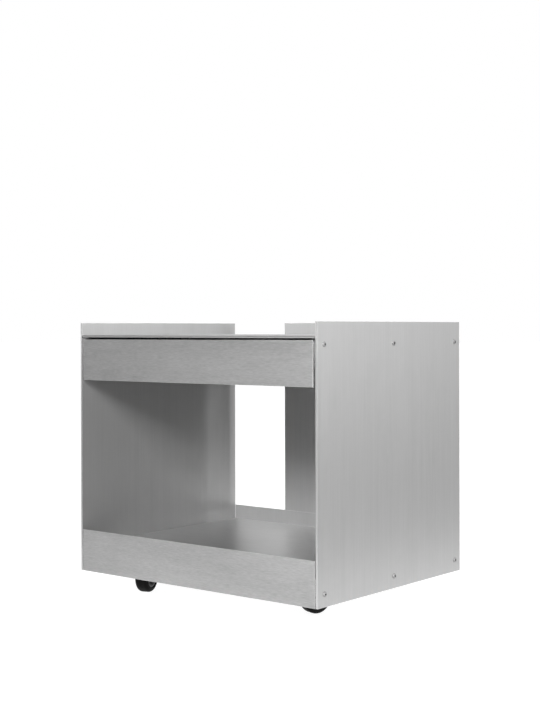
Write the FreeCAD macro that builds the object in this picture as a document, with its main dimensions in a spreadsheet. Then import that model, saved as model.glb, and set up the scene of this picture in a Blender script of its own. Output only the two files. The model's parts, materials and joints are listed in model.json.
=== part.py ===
import FreeCAD, Part
import os
import re
import Sketcher

# Serving trolley: two side plates carry a recessed top shelf, a drawer on ball slides and a lower tray.
# A spine stiffens the back, and four swivel casters stand under the tray.
# Millimetres, +X to the right seen from the front, +Y to the back, +Z up, ground at Z = 0.
# The origin is on the ground, in the middle of the overall length and width.

DIMENSIONS = (
    # carcass
    ("panel_span", 600, "width over the two side panels"),
    ("panel_depth", 475, "side panel, front to back"),
    ("panel_height", 500, "side panel, bottom to top"),
    ("panel_plate", 4, "side panel thickness"),
    ("panel_edge_break", 0.3, "rounding of the panel edges"),
    ("ground_clearance", 40, "ground to the lower edge of the panels"),
    ("sheet", 2, "thickness of shelf, tray, aprons and spine"),
    ("sheet_edge_break", 0.3, "rounding of the sheet edges"),
    ("bend_outside", 2.5, "outer radius of the sheet bends"),
    ("cut_spare", 1, "how far a cut runs past the face that it opens"),
    ("shelf_drop", 25, "panel top down to the shelf"),
    ("shelf_edge", 4, "height of the hemmed front edge of the shelf"),
    ("shelf_hem", 16, "depth of the hem"),
    ("shelf_nose", 0.5, "rounding of the hem"),
    ("shelf_flange", 80, "height of the shelf's side flanges"),
    ("flange_setback", 6, "front edge of the side flanges behind the front"),
    ("rear_flange", 30, "height of the shelf's rear flange"),
    ("apron_height", 83, "height of the front and rear aprons"),
    ("lip_rise", 30, "apron top above the tray floor"),
    ("apron_end_gap", 2, "apron end to the side panel"),
    ("tray_flange", 45, "height of the flanges under the tray floor"),
    ("spine_width", 300, "width of the back spine"),
    # screws of the carcass
    ("screw_inset", 20, "side screws from the front and back edges"),
    ("upper_screw_drop", 40, "upper side screws below the panel top"),
    ("lower_screw_rise", 23, "lower side screws above the panel bottom"),
    ("spine_screw_pitch", 240, "left to right pitch of the spine screws"),
    ("screw_radius", 2.5, "M5 thread"),
    ("screw_length", 8, "M5 length under the head"),
    ("head_radius", 4.75, "M5 button head"),
    ("head_height", 2.75, "M5 button head"),
    ("head_dome", 2.2, "rounding of the button head"),
    ("socket_flats", 3, "hexagon socket"),
    ("socket_depth", 1.6, "hexagon socket"),
    ("hole_play", 0.1, "screw hole larger than the thread, on the radius"),
    ("nut_radius", 4.7, "clinch nut"),
    ("nut_height", 4, "clinch nut"),
    # drawer
    ("drawer_gap", 4, "shelf edge to the drawer front"),
    ("drawer_side_gap", 4.5, "side panel to the end of the drawer front"),
    ("drawer_front_height", 82, "height of the drawer front"),
    ("drawer_front_depth", 5, "depth of the rim folded round the drawer front"),
    ("drawer_front_round", 0.6, "rounding of the drawer front"),
    ("box_sheet", 1.5, "drawer box sheet"),
    ("box_depth", 440, "drawer box, front to back"),
    ("box_rise", 5, "drawer box above the lower edge of its front"),
    ("box_height", 73, "height of the drawer box"),
    ("box_hem", 8, "height of the hem folded flat along the top of the box"),
    ("stud_radius", 2, "M4 weld studs on the drawer front"),
    ("stud_length", 6, "weld studs"),
    ("stud_span", 400, "left to right pitch of the studs"),
    ("stud_rise", 36, "height between the two rows of studs"),
    ("stud_nut_radius", 4.04, "M4 nut over its corners"),
    ("stud_nut_height", 3.2, "M4 nut"),
    # drawer slides, measured from the shelf flange towards the drawer
    ("slide_thickness", 12.7, "slide, flange to drawer box"),
    ("slide_setback", 7, "front end of the slide behind the front"),
    ("slide_drop", 27.5, "shelf top to the middle of the slide"),
    ("outer_length", 457, "outer member"),
    ("inner_length", 430, "middle and inner members"),
    ("outer_half", 22.75, "outer member, half height"),
    ("outer_web", 2, "outer member"),
    ("outer_lip", 1.5, "outer member"),
    ("lip_reach", 10.5, "lips of the outer and middle members end here"),
    ("middle_half", 16.65, "middle member, half height"),
    ("middle_start", 3.5, "back of the middle member"),
    ("member_sheet", 1.2, "middle and inner members"),
    ("inner_half", 10.8, "inner member, half height"),
    ("inner_lip_start", 6.4, "lips of the inner member start here"),
    ("inner_web", 1.5, "inner member"),
    ("cage_web", 0.5, "ball cages"),
    ("cage_leg", 0.8, "ball cages"),
    ("cage_length", 190, "ball cages"),
    ("cage_start", 120, "front of the cages behind the front of the slide"),
    ("outer_cage_start", 2.5, "back of the outer cage"),
    ("outer_cage_reach", 9.5, "legs of the outer cage end here"),
    ("outer_ball_line", 6.8, "balls of the outer cage"),
    ("inner_cage_start", 5.2, "back of the inner cage"),
    ("inner_cage_reach", 10.2, "legs of the inner cage end here"),
    ("inner_ball_line", 8.4, "balls of the inner cage"),
    ("ball_radius", 2, "balls of the slides"),
    ("ball_play", 0.15, "cage hole larger than the ball, on the radius"),
    ("stop_gap", 1, "rubber stop behind the closed middle member"),
    ("stop_length", 6, "rubber stop in the outer member"),
    ("stop_half", 8, "rubber stop, half height"),
    ("slide_screw_head", 4, "M4 low head, radius"),
    ("slide_screw_head_height", 2.2, "M4 low head"),
    # casters
    ("caster_side_inset", 108, "swivel axis from the outer face of the side panel"),
    ("caster_end_inset", 96, "swivel axis from the front or back edge of the panels"),
    ("caster_trail", 28, "swivel axis to wheel axis"),
    ("front_left_turn", 18.7, "swivel angle as the trolley stands"),
    ("front_right_turn", 161.4, "swivel angle as the trolley stands"),
    ("rear_left_turn", 35, "swivel angle as the trolley stands"),
    ("rear_right_turn", -100, "swivel angle as the trolley stands"),
    ("wheel_radius", 30, "tyre tread"),
    ("wheel_width", 28, "tyre"),
    ("tread_round", 8, "rounding of the tread"),
    ("tyre_lip", 1, "side of the tyre above the hub rim"),
    ("rim_radius", 20, "hub rim, inside the tyre"),
    ("rim_width", 24, "hub rim"),
    ("rim_sheet", 3, "hub rim wall"),
    ("disc_width", 8, "hub disc"),
    ("boss_radius", 8, "hub boss"),
    ("boss_gap", 0.4, "hub boss to fork leg"),
    ("sleeve_radius", 4, "axle sleeve"),
    ("sleeve_play", 0.08, "hub on the sleeve, on the radius"),
    ("axle_radius", 3, "M6 axle bolt"),
    ("axle_play", 0.05, "bolt in sleeve and fork, on the radius"),
    ("axle_hex_radius", 5.77, "M6 head and nut over the corners"),
    ("axle_head_height", 4, "M6 head"),
    ("axle_nut_height", 5, "M6 nut"),
    ("axle_spare", 1, "thread beyond the nut"),
    ("fork_space", 31, "between the fork legs"),
    ("fork_leg", 2.5, "fork leg thickness"),
    ("fork_end_round", 10, "rounding of the leg ends"),
    ("fork_end_half", 11, "half width of the leg at the axle"),
    ("fork_end_drop", 9, "axle to the lower end of the leg"),
    ("crown_top", 69, "top of the fork above the ground"),
    ("crown_plate", 3, "fork crown thickness"),
    ("crown_front", 19, "swivel axis to the front of the crown"),
    ("crown_back", 32, "swivel axis to the back of the crown"),
    ("crown_side", 6, "height of the crown's front edge"),
    ("crown_corner", 6, "rounding of the crown's corners"),
    ("swivel_ball_radius", 2.5, "balls of the swivel"),
    ("swivel_ball_ring", 16, "radius of the ring of balls"),
    ("swivel_play", 0.3, "balls to the fork and to the cup"),
    ("cup_radius", 22.5, "swivel cup under the top plate"),
    ("cup_wall", 2, "rim of the cup"),
    ("cup_gap", 1, "rim of the cup to the crown"),
    ("plate_height", 85, "top of the caster's plate above the ground"),
    ("plate_sheet", 3, "caster plate thickness"),
    ("plate_length", 70, "caster plate"),
    ("plate_width", 55, "caster plate"),
    ("plate_corner", 5, "caster plate"),
    ("plate_hole_length", 52, "pitch of the plate holes"),
    ("plate_hole_width", 38, "pitch of the plate holes"),
    ("kingpin_radius", 5, "king pin"),
    ("kingpin_play", 0.05, "king pin in its bores, on the radius"),
    ("kingpin_head_radius", 8, "king pin head under the crown"),
    ("kingpin_head_height", 4, "king pin head"),
    ("pad_length", 84, "threaded pad under the tray floor"),
    ("pad_width", 66, "threaded pad under the tray floor"),
    ("caster_screw_radius", 3, "M6 thread"),
    ("caster_screw_length", 8, "M6 length under the head"),
    ("caster_screw_hex", 5.77, "M6 head over the corners"),
    ("caster_screw_head", 4, "M6 head"),
)

SLIDE_BALLS_PER_LEG = 8
SWIVEL_BALLS = 16
HEXAGON = 6
NEAR = 0.01
SIDES = (("left", 1), ("right", -1))
CORNERS = (
    ("front_left", -1, -1),
    ("front_right", 1, -1),
    ("rear_left", -1, 1),
    ("rear_right", 1, 1),
)

# Levels and faces worked out from the driving dimensions.
FRONT = "(-(panel_depth + sheet + head_height) / 2)"
INSIDE = "(panel_span / 2 - panel_plate)"
SHELF_TOP = "(ground_clearance + panel_height - shelf_drop)"
FLOOR_TOP = "(ground_clearance + apron_height - lip_rise)"
FRONT_TOP = f"({SHELF_TOP} - shelf_edge - drawer_gap)"
FRONT_BOTTOM = f"({FRONT_TOP} - drawer_front_height)"
FRONT_HALF = f"({INSIDE} - drawer_side_gap)"
UPPER_SCREWS = "(ground_clearance + panel_height - upper_screw_drop)"
LOWER_SCREWS = "(ground_clearance + lower_screw_rise)"
SCREW_ROWS = ("screw_inset", "panel_depth / 2", "panel_depth - screw_inset")
SCREW_HOLE = "(screw_radius + hole_play)"
STUD_HOLE = "(stud_radius + hole_play)"
CASTER_HOLE = "(caster_screw_radius + hole_play)"
SHELF_SCREWS = "(shelf_drop - upper_screw_drop)"
FLANGE_FACE = f"({INSIDE} - sheet)"
SLIDE_MIDDLE = f"({SHELF_TOP} - slide_drop)"
SLIDE_FRONT = f"({FRONT} + slide_setback)"
BOX_HALF = f"({FLANGE_FACE} - slide_thickness)"
BOX_BOTTOM = f"({FRONT_BOTTOM} + box_rise)"
BOX_FRONT = f"({FRONT} + sheet)"
STUD_MIDDLE = f"({FRONT_BOTTOM} + drawer_front_height / 2)"
SLIDE_SCREW_ROWS = ("inner_length / 8", "inner_length / 2", "inner_length * 7 / 8")
FORK_HALF = "(fork_space / 2 + fork_leg)"
CUP_BOTTOM = "(crown_top + 2 * swivel_ball_radius + 2 * swivel_play)"
PLATE_BOTTOM = "(plate_height - plate_sheet)"
SWIVEL_X = "(panel_span / 2 - caster_side_inset)"
FLOOR_UNDERSIDE = f"({FLOOR_TOP} - sheet)"

X_AXIS = FreeCAD.Vector(1, 0, 0)
Y_AXIS = FreeCAD.Vector(0, 1, 0)
Z_AXIS = FreeCAD.Vector(0, 0, 1)
NO_TURN = FreeCAD.Rotation()
FACING = {
    "+Z": NO_TURN,
    "-Z": FreeCAD.Rotation(X_AXIS, 180),
    "+X": FreeCAD.Rotation(Y_AXIS, 90),
    "-X": FreeCAD.Rotation(Y_AXIS, -90),
    "+Y": FreeCAD.Rotation(X_AXIS, -90),
    "-Y": FreeCAD.Rotation(X_AXIS, 90),
}

doc = FreeCAD.newDocument("ServingTrolley")
dims = doc.addObject("Spreadsheet::Sheet", "Dims")
for row, (alias, value, note) in enumerate(DIMENSIONS, start=1):
    dims.set(f"A{row}", note)
    dims.set(f"B{row}", str(value))
    dims.setAlias(f"B{row}", alias)
doc.recompute()

ALIASES = {alias for alias, value, note in DIMENSIONS}
nodes = []


def formula(text):
    """The expression with each dimension's name turned into its cell."""
    return re.sub(r"[a-z_]+", lambda word: bound_word(word.group()), text)


def bound_word(word):
    """A dimension's cell, or the word itself where it is not a dimension."""
    if word in ALIASES:
        return f"Dims.{word}"
    return word


def value_of(text):
    """The number that an expression gives now."""
    return float(dims.evalExpression(formula(text)))


def bind(thing, prop, text):
    """Ties a property to the sheet."""
    thing.setExpression(prop, formula(text))


def place(thing, x="0", y="0", z="0", rotation=NO_TURN):
    """Puts an object at a place that follows the sheet."""
    thing.Placement = FreeCAD.Placement(FreeCAD.Vector(), rotation)
    for axis, text in (("x", x), ("y", y), ("z", z)):
        bind(thing, f"Placement.Base.{axis}", text)


def node(thing, name):
    """Names a finished sub-part and puts it on the list of files to write."""
    thing.Label = name
    nodes.append((name, thing))
    return thing


def new_body(name):
    """An empty body for sketches and features."""
    return doc.addObject("PartDesign::Body", name)


def sketch(body, role, outlines=(), circles=()):
    """A sketch on one of the body's origin planes, with every point tied to the sheet."""
    made = body.newObject("Sketcher::SketchObject", f"{body.Name}_outline")
    plane = next(item for item in body.Origin.OriginFeatures if item.Role == role)
    made.AttachmentSupport = [(plane, "")]
    made.MapMode = "FlatFace"
    for points in outlines:
        draw_outline(made, points)
    for across, up, radius in circles:
        draw_circle(made, across, up, radius)
    return made


def tie_point(made, index, position, across, up):
    """Ties one point of a sketch to its two expressions."""
    for kind, text in (("DistanceX", across), ("DistanceY", up)):
        rule = Sketcher.Constraint(kind, -1, 1, index, position, value_of(text))
        number = made.addConstraint(rule)
        bind(made, f"Constraints[{number}]", text)


def draw_outline(made, points):
    """A closed outline of straight lines through the points."""
    first = made.GeometryCount
    count = len(points)
    spots = [FreeCAD.Vector(value_of(across), value_of(up), 0) for across, up in points]
    for index in range(count):
        made.addGeometry(Part.LineSegment(spots[index], spots[(index + 1) % count]), False)
    for index in range(count):
        following = first + (index + 1) % count
        made.addConstraint(Sketcher.Constraint("Coincident", first + index, 2, following, 1))
    for index, (across, up) in enumerate(points):
        tie_point(made, first + index, 1, across, up)


def draw_circle(made, across, up, radius):
    """A circle about a point."""
    centre = FreeCAD.Vector(value_of(across), value_of(up), 0)
    index = made.addGeometry(Part.Circle(centre, Z_AXIS, value_of(radius)), False)
    number = made.addConstraint(Sketcher.Constraint("Radius", index, value_of(radius)))
    bind(made, f"Constraints[{number}]", radius)
    tie_point(made, index, 3, across, up)


def rectangle(left, bottom, right, top):
    """The corners of an upright rectangle."""
    return ((left, bottom), (right, bottom), (right, top), (left, top))


def pad(body, profile, length, backwards=False, both_ways=False):
    """Material along the normal of the sketch."""
    made = body.newObject("PartDesign::Pad", f"{body.Name}_pad")
    made.Profile = profile
    made.Reversed = backwards
    made.Midplane = both_ways
    bind(made, "Length", length)
    return made


def pocket(body, profile, length=None, backwards=False):
    """A cut along the normal: to a depth, or right through both ways. It has to take material away."""
    doc.recompute()
    before = body.Shape.Volume
    made = body.newObject("PartDesign::Pocket", f"{body.Name}_pocket")
    made.Profile = profile
    made.Reversed = backwards
    if length is None:
        made.Type = "ThroughAll"
        made.Midplane = True
    else:
        bind(made, "Length", length)
    doc.recompute()
    if before - body.Shape.Volume < NEAR:
        raise ValueError(f"a pocket of {body.Name} cuts nothing")
    return made


def revolve(body, profile):
    """A full turn of the sketch about the body's Z axis."""
    made = body.newObject("PartDesign::Revolution", f"{body.Name}_turned")
    made.Profile = profile
    axis = next(item for item in body.Origin.OriginFeatures if item.Role == "Z_Axis")
    made.ReferenceAxis = (axis, [""])
    made.Angle = 360
    return made


def turned(name, points):
    """A body turned about Z from a closed outline of radius and height."""
    body = new_body(name)
    revolve(body, sketch(body, "XZ_Plane", [points]))
    return body


def fillet(body, radius, chosen):
    """Rounds the edges for which chosen(edge) is true."""
    doc.recompute()
    base = body.Tip
    names = [f"Edge{index}" for index, edge in enumerate(base.Shape.Edges, start=1) if chosen(edge)]
    made = body.newObject("PartDesign::Fillet", f"{body.Name}_fillet")
    made.Base = (base, names)
    bind(made, "Radius", radius)
    return made


def is_straight(edge):
    """True for a straight edge."""
    return not edge.Degenerated and edge.Curve.TypeId == "Part::GeomLine"


def longer_than(length):
    """Picks straight edges over a length."""
    return lambda edge: is_straight(edge) and edge.Length > length


def circle_at(height, radius):
    """Picks the full circle of a radius at a height."""
    def chosen(edge):
        if edge.Degenerated or edge.Curve.TypeId != "Part::GeomCircle":
            return False
        return abs(edge.Curve.Center.z - height) < NEAR and abs(edge.Curve.Radius - radius) < NEAR
    return chosen


def group(name, things):
    """Separate solids under one name."""
    made = doc.addObject("Part::Compound", name)
    made.Links = things
    return made


def copies(name, master, spots):
    """Copies of one master piece at several spots, under one name."""
    links = []
    for x, y, z, facing in spots:
        link = doc.addObject("App::Link", f"{name}_copy")
        link.LinkedObject = master
        place(link, x, y, z, FACING[facing])
        links.append(link)
    return node(group(name, links), name)


def cylinder(name, radius, length, x="0", y="0", z="0", facing="+Z"):
    """A plain cylinder from a spot along a direction."""
    made = doc.addObject("Part::Cylinder", name)
    bind(made, "Radius", radius)
    bind(made, "Height", length)
    place(made, x, y, z, FACING[facing])
    return made


def hexagon(name, corner_radius, length, x="0", y="0", z="0", facing="+Z"):
    """A hexagonal prism from a spot along a direction."""
    made = doc.addObject("Part::Prism", name)
    made.Polygon = HEXAGON
    bind(made, "Circumradius", corner_radius)
    bind(made, "Height", length)
    place(made, x, y, z, FACING[facing])
    return made


def joined(name, things):
    """One solid from several that touch."""
    made = doc.addObject("Part::MultiFuse", name)
    made.Shapes = things
    return made


def cut(name, base, tool):
    """The base with the tool taken away."""
    made = doc.addObject("Part::Cut", name)
    made.Base = base
    made.Tool = tool
    return made


def spine_holes(*levels):
    """Screw holes of the spine, left and right, at each level."""
    return [(f"{side} * spine_screw_pitch / 2", level, SCREW_HOLE) for side in (-1, 1) for level in levels]


def stud_spots(level="0"):
    """The four weld studs of the drawer front, across and up, about a level."""
    return [(f"{side} * stud_span / 2", f"{level} + {row} * stud_rise / 2")
            for side in (-1, 1) for row in (-1, 1)]


def side_panels():
    """Flat plates with three screw holes along the top and three along the bottom."""
    holes = [(depth, "panel_height - upper_screw_drop") for depth in SCREW_ROWS]
    holes += [(depth, "lower_screw_rise") for depth in SCREW_ROWS]
    circles = [(depth, up, SCREW_HOLE) for depth, up in holes]
    for side, toward_middle in SIDES:
        body = new_body(f"{side}_side_panel")
        border = rectangle("0", "0", "panel_depth", "panel_height")
        pad(body, sketch(body, "YZ_Plane", [border], circles), "panel_plate")
        fillet(body, "panel_edge_break", longer_than(value_of("2 * panel_plate")))
        outer_x = "-panel_span / 2" if toward_middle > 0 else INSIDE
        place(body, outer_x, FRONT, "ground_clearance")
        node(body, f"{side}_side_panel")


def flanged_section(flange):
    """Section of a sheet across the trolley with a flange turned down at each side panel."""
    return (
        (f"-{INSIDE}", f"-{flange}"), (f"-{INSIDE}", "0"), (INSIDE, "0"), (INSIDE, f"-{flange}"),
        (FLANGE_FACE, f"-{flange}"), (FLANGE_FACE, "-sheet"),
        (f"-{FLANGE_FACE}", "-sheet"), (f"-{FLANGE_FACE}", f"-{flange}"),
    )


def is_side_bend(edge):
    """Picks the two long outer bends along the side panels, at the top of the sheet."""
    middle = edge.BoundBox.Center
    outermost = abs(abs(middle.x) - value_of(INSIDE)) < NEAR
    return longer_than(value_of("panel_depth / 2"))(edge) and outermost and abs(middle.z) < NEAR


def is_rear_bend(edge):
    """Picks the long outer bend of the shelf's rear flange."""
    middle = edge.BoundBox.Center
    rearmost = abs(middle.y - value_of("panel_depth")) < NEAR
    return longer_than(value_of(INSIDE))(edge) and rearmost and abs(middle.z) < NEAR


def top_shelf():
    """Sheet with a hemmed front edge, side flanges that hold the slides, and a rear flange."""
    body = new_body("top_shelf")
    across = sketch(body, "XZ_Plane", [flanged_section("shelf_flange")])
    pad(body, across, "panel_depth", backwards=True)
    relief = rectangle("0", "-shelf_flange - cut_spare", "flange_setback", "-shelf_edge")
    pocket(body, sketch(body, "YZ_Plane", [relief]))
    hem = rectangle("0", "-shelf_edge", "shelf_hem", "0")
    pad(body, sketch(body, "YZ_Plane", [hem]), f"2 * {INSIDE}", both_ways=True)
    back = rectangle("panel_depth - sheet", "-rear_flange", "panel_depth", "0")
    pad(body, sketch(body, "YZ_Plane", [back]), f"2 * {FLANGE_FACE}", both_ways=True)
    side_holes = [(depth, SHELF_SCREWS, SCREW_HOLE) for depth in SCREW_ROWS]
    pocket(body, sketch(body, "YZ_Plane", circles=side_holes))
    pocket(body, sketch(body, "XZ_Plane", circles=spine_holes(SHELF_SCREWS)))
    fillet(body, "bend_outside", lambda edge: is_side_bend(edge) or is_rear_bend(edge))
    fillet(body, "shelf_nose", is_shelf_nose)
    place(body, "0", FRONT, SHELF_TOP)
    node(body, "top_shelf")


def is_shelf_nose(edge):
    """Picks the two long edges of the hem at the front of the shelf."""
    return longer_than(value_of(INSIDE))(edge) and abs(edge.BoundBox.Center.y) < NEAR


def tray_floor():
    """Lower shelf: a sheet with flanges turned down on all four sides."""
    body = new_body("tray_floor")
    across = sketch(body, "XZ_Plane", [flanged_section("tray_flange")])
    depth = "(panel_depth - 2 * sheet)"
    pad(body, across, depth, backwards=True)
    for start in ("0", f"{depth} - sheet"):
        wall = rectangle(start, "-tray_flange", f"{start} + sheet", "0")
        pad(body, sketch(body, "YZ_Plane", [wall]), f"2 * {FLANGE_FACE}", both_ways=True)
    drop = f"{LOWER_SCREWS} - {FLOOR_TOP}"
    side_holes = [(f"{row} - sheet", drop, SCREW_HOLE) for row in SCREW_ROWS]
    pocket(body, sketch(body, "YZ_Plane", circles=side_holes))
    rear = sketch(body, "XZ_Plane", circles=spine_holes(drop))
    bind(rear, "AttachmentOffset.Base.z", f"-{depth} + sheet + cut_spare")
    pocket(body, rear, "sheet + 2 * cut_spare")
    fillet(body, "bend_outside", is_side_bend)
    place(body, "0", f"{FRONT} + sheet", FLOOR_TOP)
    node(body, "tray_floor")


def aprons():
    """Upright strips in front of and behind the tray. They stand above its floor as lips."""
    half = f"({INSIDE} - apron_end_gap)"
    border = rectangle(f"-{half}", "0", half, "apron_height")
    for name, start, circles in (
        ("front_apron", FRONT, ()),
        ("rear_apron", f"{FRONT} + panel_depth - sheet", spine_holes("lower_screw_rise")),
    ):
        body = new_body(name)
        pad(body, sketch(body, "XZ_Plane", [border], circles), "sheet", backwards=True)
        fillet(body, "sheet_edge_break", longer_than(value_of("2 * sheet")))
        place(body, "0", start, "ground_clearance")
        node(body, name)


def back_spine():
    """Flat upright panel over the middle of the back, screwed to the shelf and to the tray."""
    body = new_body("back_spine")
    border = rectangle("-spine_width / 2", "0", "spine_width / 2", "panel_height")
    circles = spine_holes("lower_screw_rise", "panel_height - upper_screw_drop")
    pad(body, sketch(body, "XZ_Plane", [border], circles), "sheet", backwards=True)
    fillet(body, "sheet_edge_break", longer_than(value_of("2 * sheet")))
    place(body, "0", f"{FRONT} + panel_depth", "ground_clearance")
    node(body, "back_spine")


def carcass_screws():
    """Button-head screws through the side panels and the spine, and the clinch nuts of the lower ones."""
    screw = turned("button_screw", (
        ("0", "-screw_length"), ("screw_radius", "-screw_length"), ("screw_radius", "0"),
        ("head_radius", "0"), ("head_radius", "head_height"), ("0", "head_height"),
    ))
    fillet(screw, "head_dome", circle_at(value_of("head_height"), value_of("head_radius")))
    corner = "(socket_flats / sqrt(3))"
    flat = "(socket_flats / 2)"
    socket = (
        (corner, "0"), (f"{corner} / 2", flat), (f"-{corner} / 2", flat),
        (f"-{corner}", "0"), (f"-{corner} / 2", f"-{flat}"), (f"{corner} / 2", f"-{flat}"),
    )
    mouth = sketch(screw, "XY_Plane", [socket])
    bind(mouth, "AttachmentOffset.Base.z", "head_height")
    pocket(screw, mouth, "socket_depth")
    for side, facing, outer_x in (("left", "-X", "-panel_span / 2"), ("right", "+X", "panel_span / 2")):
        spots = [(outer_x, f"{FRONT} + {row}", level, facing)
                 for level in (UPPER_SCREWS, LOWER_SCREWS) for row in SCREW_ROWS]
        copies(f"{side}_side_screws", screw, spots)
    spine_face = f"{FRONT} + panel_depth + sheet"
    spots = [(f"{side} * spine_screw_pitch / 2", spine_face, level, "+Y")
             for side in (-1, 1) for level in (UPPER_SCREWS, LOWER_SCREWS)]
    copies("spine_screws", screw, spots)

    nut = turned("clinch_nut", (
        (SCREW_HOLE, "0"), ("nut_radius", "0"), ("nut_radius", "nut_height"), (SCREW_HOLE, "nut_height"),
    ))
    spots = [(f"-{FLANGE_FACE}", f"{FRONT} + {row}", LOWER_SCREWS, "+X") for row in SCREW_ROWS]
    spots += [(FLANGE_FACE, f"{FRONT} + {row}", LOWER_SCREWS, "-X") for row in SCREW_ROWS]
    shelf_face = f"{FRONT} + panel_depth - sheet"
    tray_face = f"{FRONT} + panel_depth - 2 * sheet"
    for side in (-1, 1):
        across = f"{side} * spine_screw_pitch / 2"
        spots.append((across, shelf_face, UPPER_SCREWS, "-Y"))
        spots.append((across, f"{tray_face} - sheet", LOWER_SCREWS, "-Y"))
    copies("clinch_nuts", nut, spots)


def drawer_front():
    """Flat front with a folded rim, and four weld studs on its back."""
    body = new_body("drawer_front")
    middle = "(drawer_front_height / 2)"
    border = rectangle(f"-{FRONT_HALF}", f"-{middle}", FRONT_HALF, middle)
    pad(body, sketch(body, "XZ_Plane", [border]), "drawer_front_depth", backwards=True)
    inner_half = f"({FRONT_HALF} - sheet)"
    hollow = sketch(body, "XZ_Plane", [rectangle(
        f"-{inner_half}", f"-{middle} + sheet", inner_half, f"{middle} - sheet")])
    bind(hollow, "AttachmentOffset.Base.z", "-drawer_front_depth")
    pocket(body, hollow, "drawer_front_depth - sheet", backwards=True)
    fillet(body, "drawer_front_round", is_front_rim)
    studs = sketch(body, "XZ_Plane", circles=[(across, up, "stud_radius") for across, up in stud_spots()])
    bind(studs, "AttachmentOffset.Base.z", "-sheet")
    pad(body, studs, "stud_length", backwards=True)
    place(body, "0", FRONT, STUD_MIDDLE)
    node(body, "drawer_front")

    nuts = []
    for across, up in stud_spots(STUD_MIDDLE):
        spot = (across, f"{BOX_FRONT} + box_sheet", up)
        blank = hexagon("stud_nut", "stud_nut_radius", "stud_nut_height", *spot, facing="+Y")
        bore = cylinder("stud_nut_bore", STUD_HOLE, "stud_nut_height", *spot, facing="+Y")
        nuts.append(cut("stud_nut_ring", blank, bore))
    node(group("drawer_front_nuts", nuts), "drawer_front_nuts")


def is_front_rim(edge):
    """Picks the four edges round the visible face of the drawer front."""
    return longer_than(value_of("2 * drawer_front_depth"))(edge) and abs(edge.BoundBox.Center.y) < NEAR


def drawer_box():
    """Sides and floor folded from one sheet, hemmed along the top, with a plate welded in at each end."""
    inner_half = f"({BOX_HALF} - box_sheet)"
    mouth_half = f"({BOX_HALF} - 2 * box_sheet)"
    hem_bottom = "(box_height - box_hem)"
    half_section = (
        (BOX_HALF, "0"), (BOX_HALF, "box_height"), (mouth_half, "box_height"), (mouth_half, hem_bottom),
        (inner_half, hem_bottom), (inner_half, "box_sheet"),
    )
    section = half_section + tuple((f"-{across}", up) for across, up in reversed(half_section))
    wrap = new_body("drawer_box")
    pad(wrap, sketch(wrap, "XZ_Plane", [section]), "box_depth", backwards=True)
    fillet(wrap, "bend_outside", is_box_bend)
    screw_level = f"{SLIDE_MIDDLE} - {BOX_BOTTOM}"
    side_holes = [(f"{row} + slide_setback - sheet", screw_level, STUD_HOLE) for row in SLIDE_SCREW_ROWS]
    pocket(wrap, sketch(wrap, "YZ_Plane", circles=side_holes))
    place(wrap, "0", BOX_FRONT, BOX_BOTTOM)
    node(wrap, "drawer_box")

    plate = (
        (f"-{inner_half}", "box_sheet"), (inner_half, "box_sheet"), (inner_half, hem_bottom),
        (mouth_half, hem_bottom), (mouth_half, "box_height"), (f"-{mouth_half}", "box_height"),
        (f"-{mouth_half}", hem_bottom), (f"-{inner_half}", hem_bottom),
    )
    hem = rectangle(f"-{mouth_half}", hem_bottom, mouth_half, "box_height")
    stud_level = f"({STUD_MIDDLE} - {BOX_BOTTOM})"
    stud_holes = [(across, up, STUD_HOLE) for across, up in stud_spots(stud_level)]
    for name, circles, outer_face, facing_back in (
        ("drawer_box_front", stud_holes, BOX_FRONT, True),
        ("drawer_box_back", (), f"{BOX_FRONT} + box_depth", False),
    ):
        body = new_body(name)
        pad(body, sketch(body, "XZ_Plane", [plate], circles), "box_sheet", backwards=facing_back)
        pad(body, sketch(body, "XZ_Plane", [hem]), "2 * box_sheet", backwards=facing_back)
        place(body, "0", outer_face, BOX_BOTTOM)
        node(body, name)


def is_box_bend(edge):
    """Picks the edges along the left and right of the box's floor."""
    return longer_than(value_of("box_depth / 2"))(edge) and is_lowest_side(edge)


def is_lowest_side(edge):
    """True for an edge that runs front to back at floor level."""
    return edge.BoundBox.XLength < NEAR and abs(edge.BoundBox.Center.z) < NEAR


def channel(name, sign, start, web, reach, half, leg, length):
    """A member with a web and two legs, drawn across the slide and drawn out along it.

    Across the slide, start is the face of the web, web its thickness and reach the ends of the legs.
    A reach below start turns the legs the other way.
    """
    legs_inward = value_of(reach) > value_of(start)
    web_end = f"({start} + {web})" if legs_inward else f"({start} - {web})"
    points = (
        (start, f"-{half}"), (reach, f"-{half}"), (reach, f"-{half} + {leg}"),
        (web_end, f"-{half} + {leg}"), (web_end, f"{half} - {leg}"),
        (reach, f"{half} - {leg}"), (reach, half), (start, half),
    )
    body = new_body(name)
    outline = [(f"{sign} * {across}", up) for across, up in points]
    pad(body, sketch(body, "XZ_Plane", [outline]), length, backwards=True)
    return body


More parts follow.
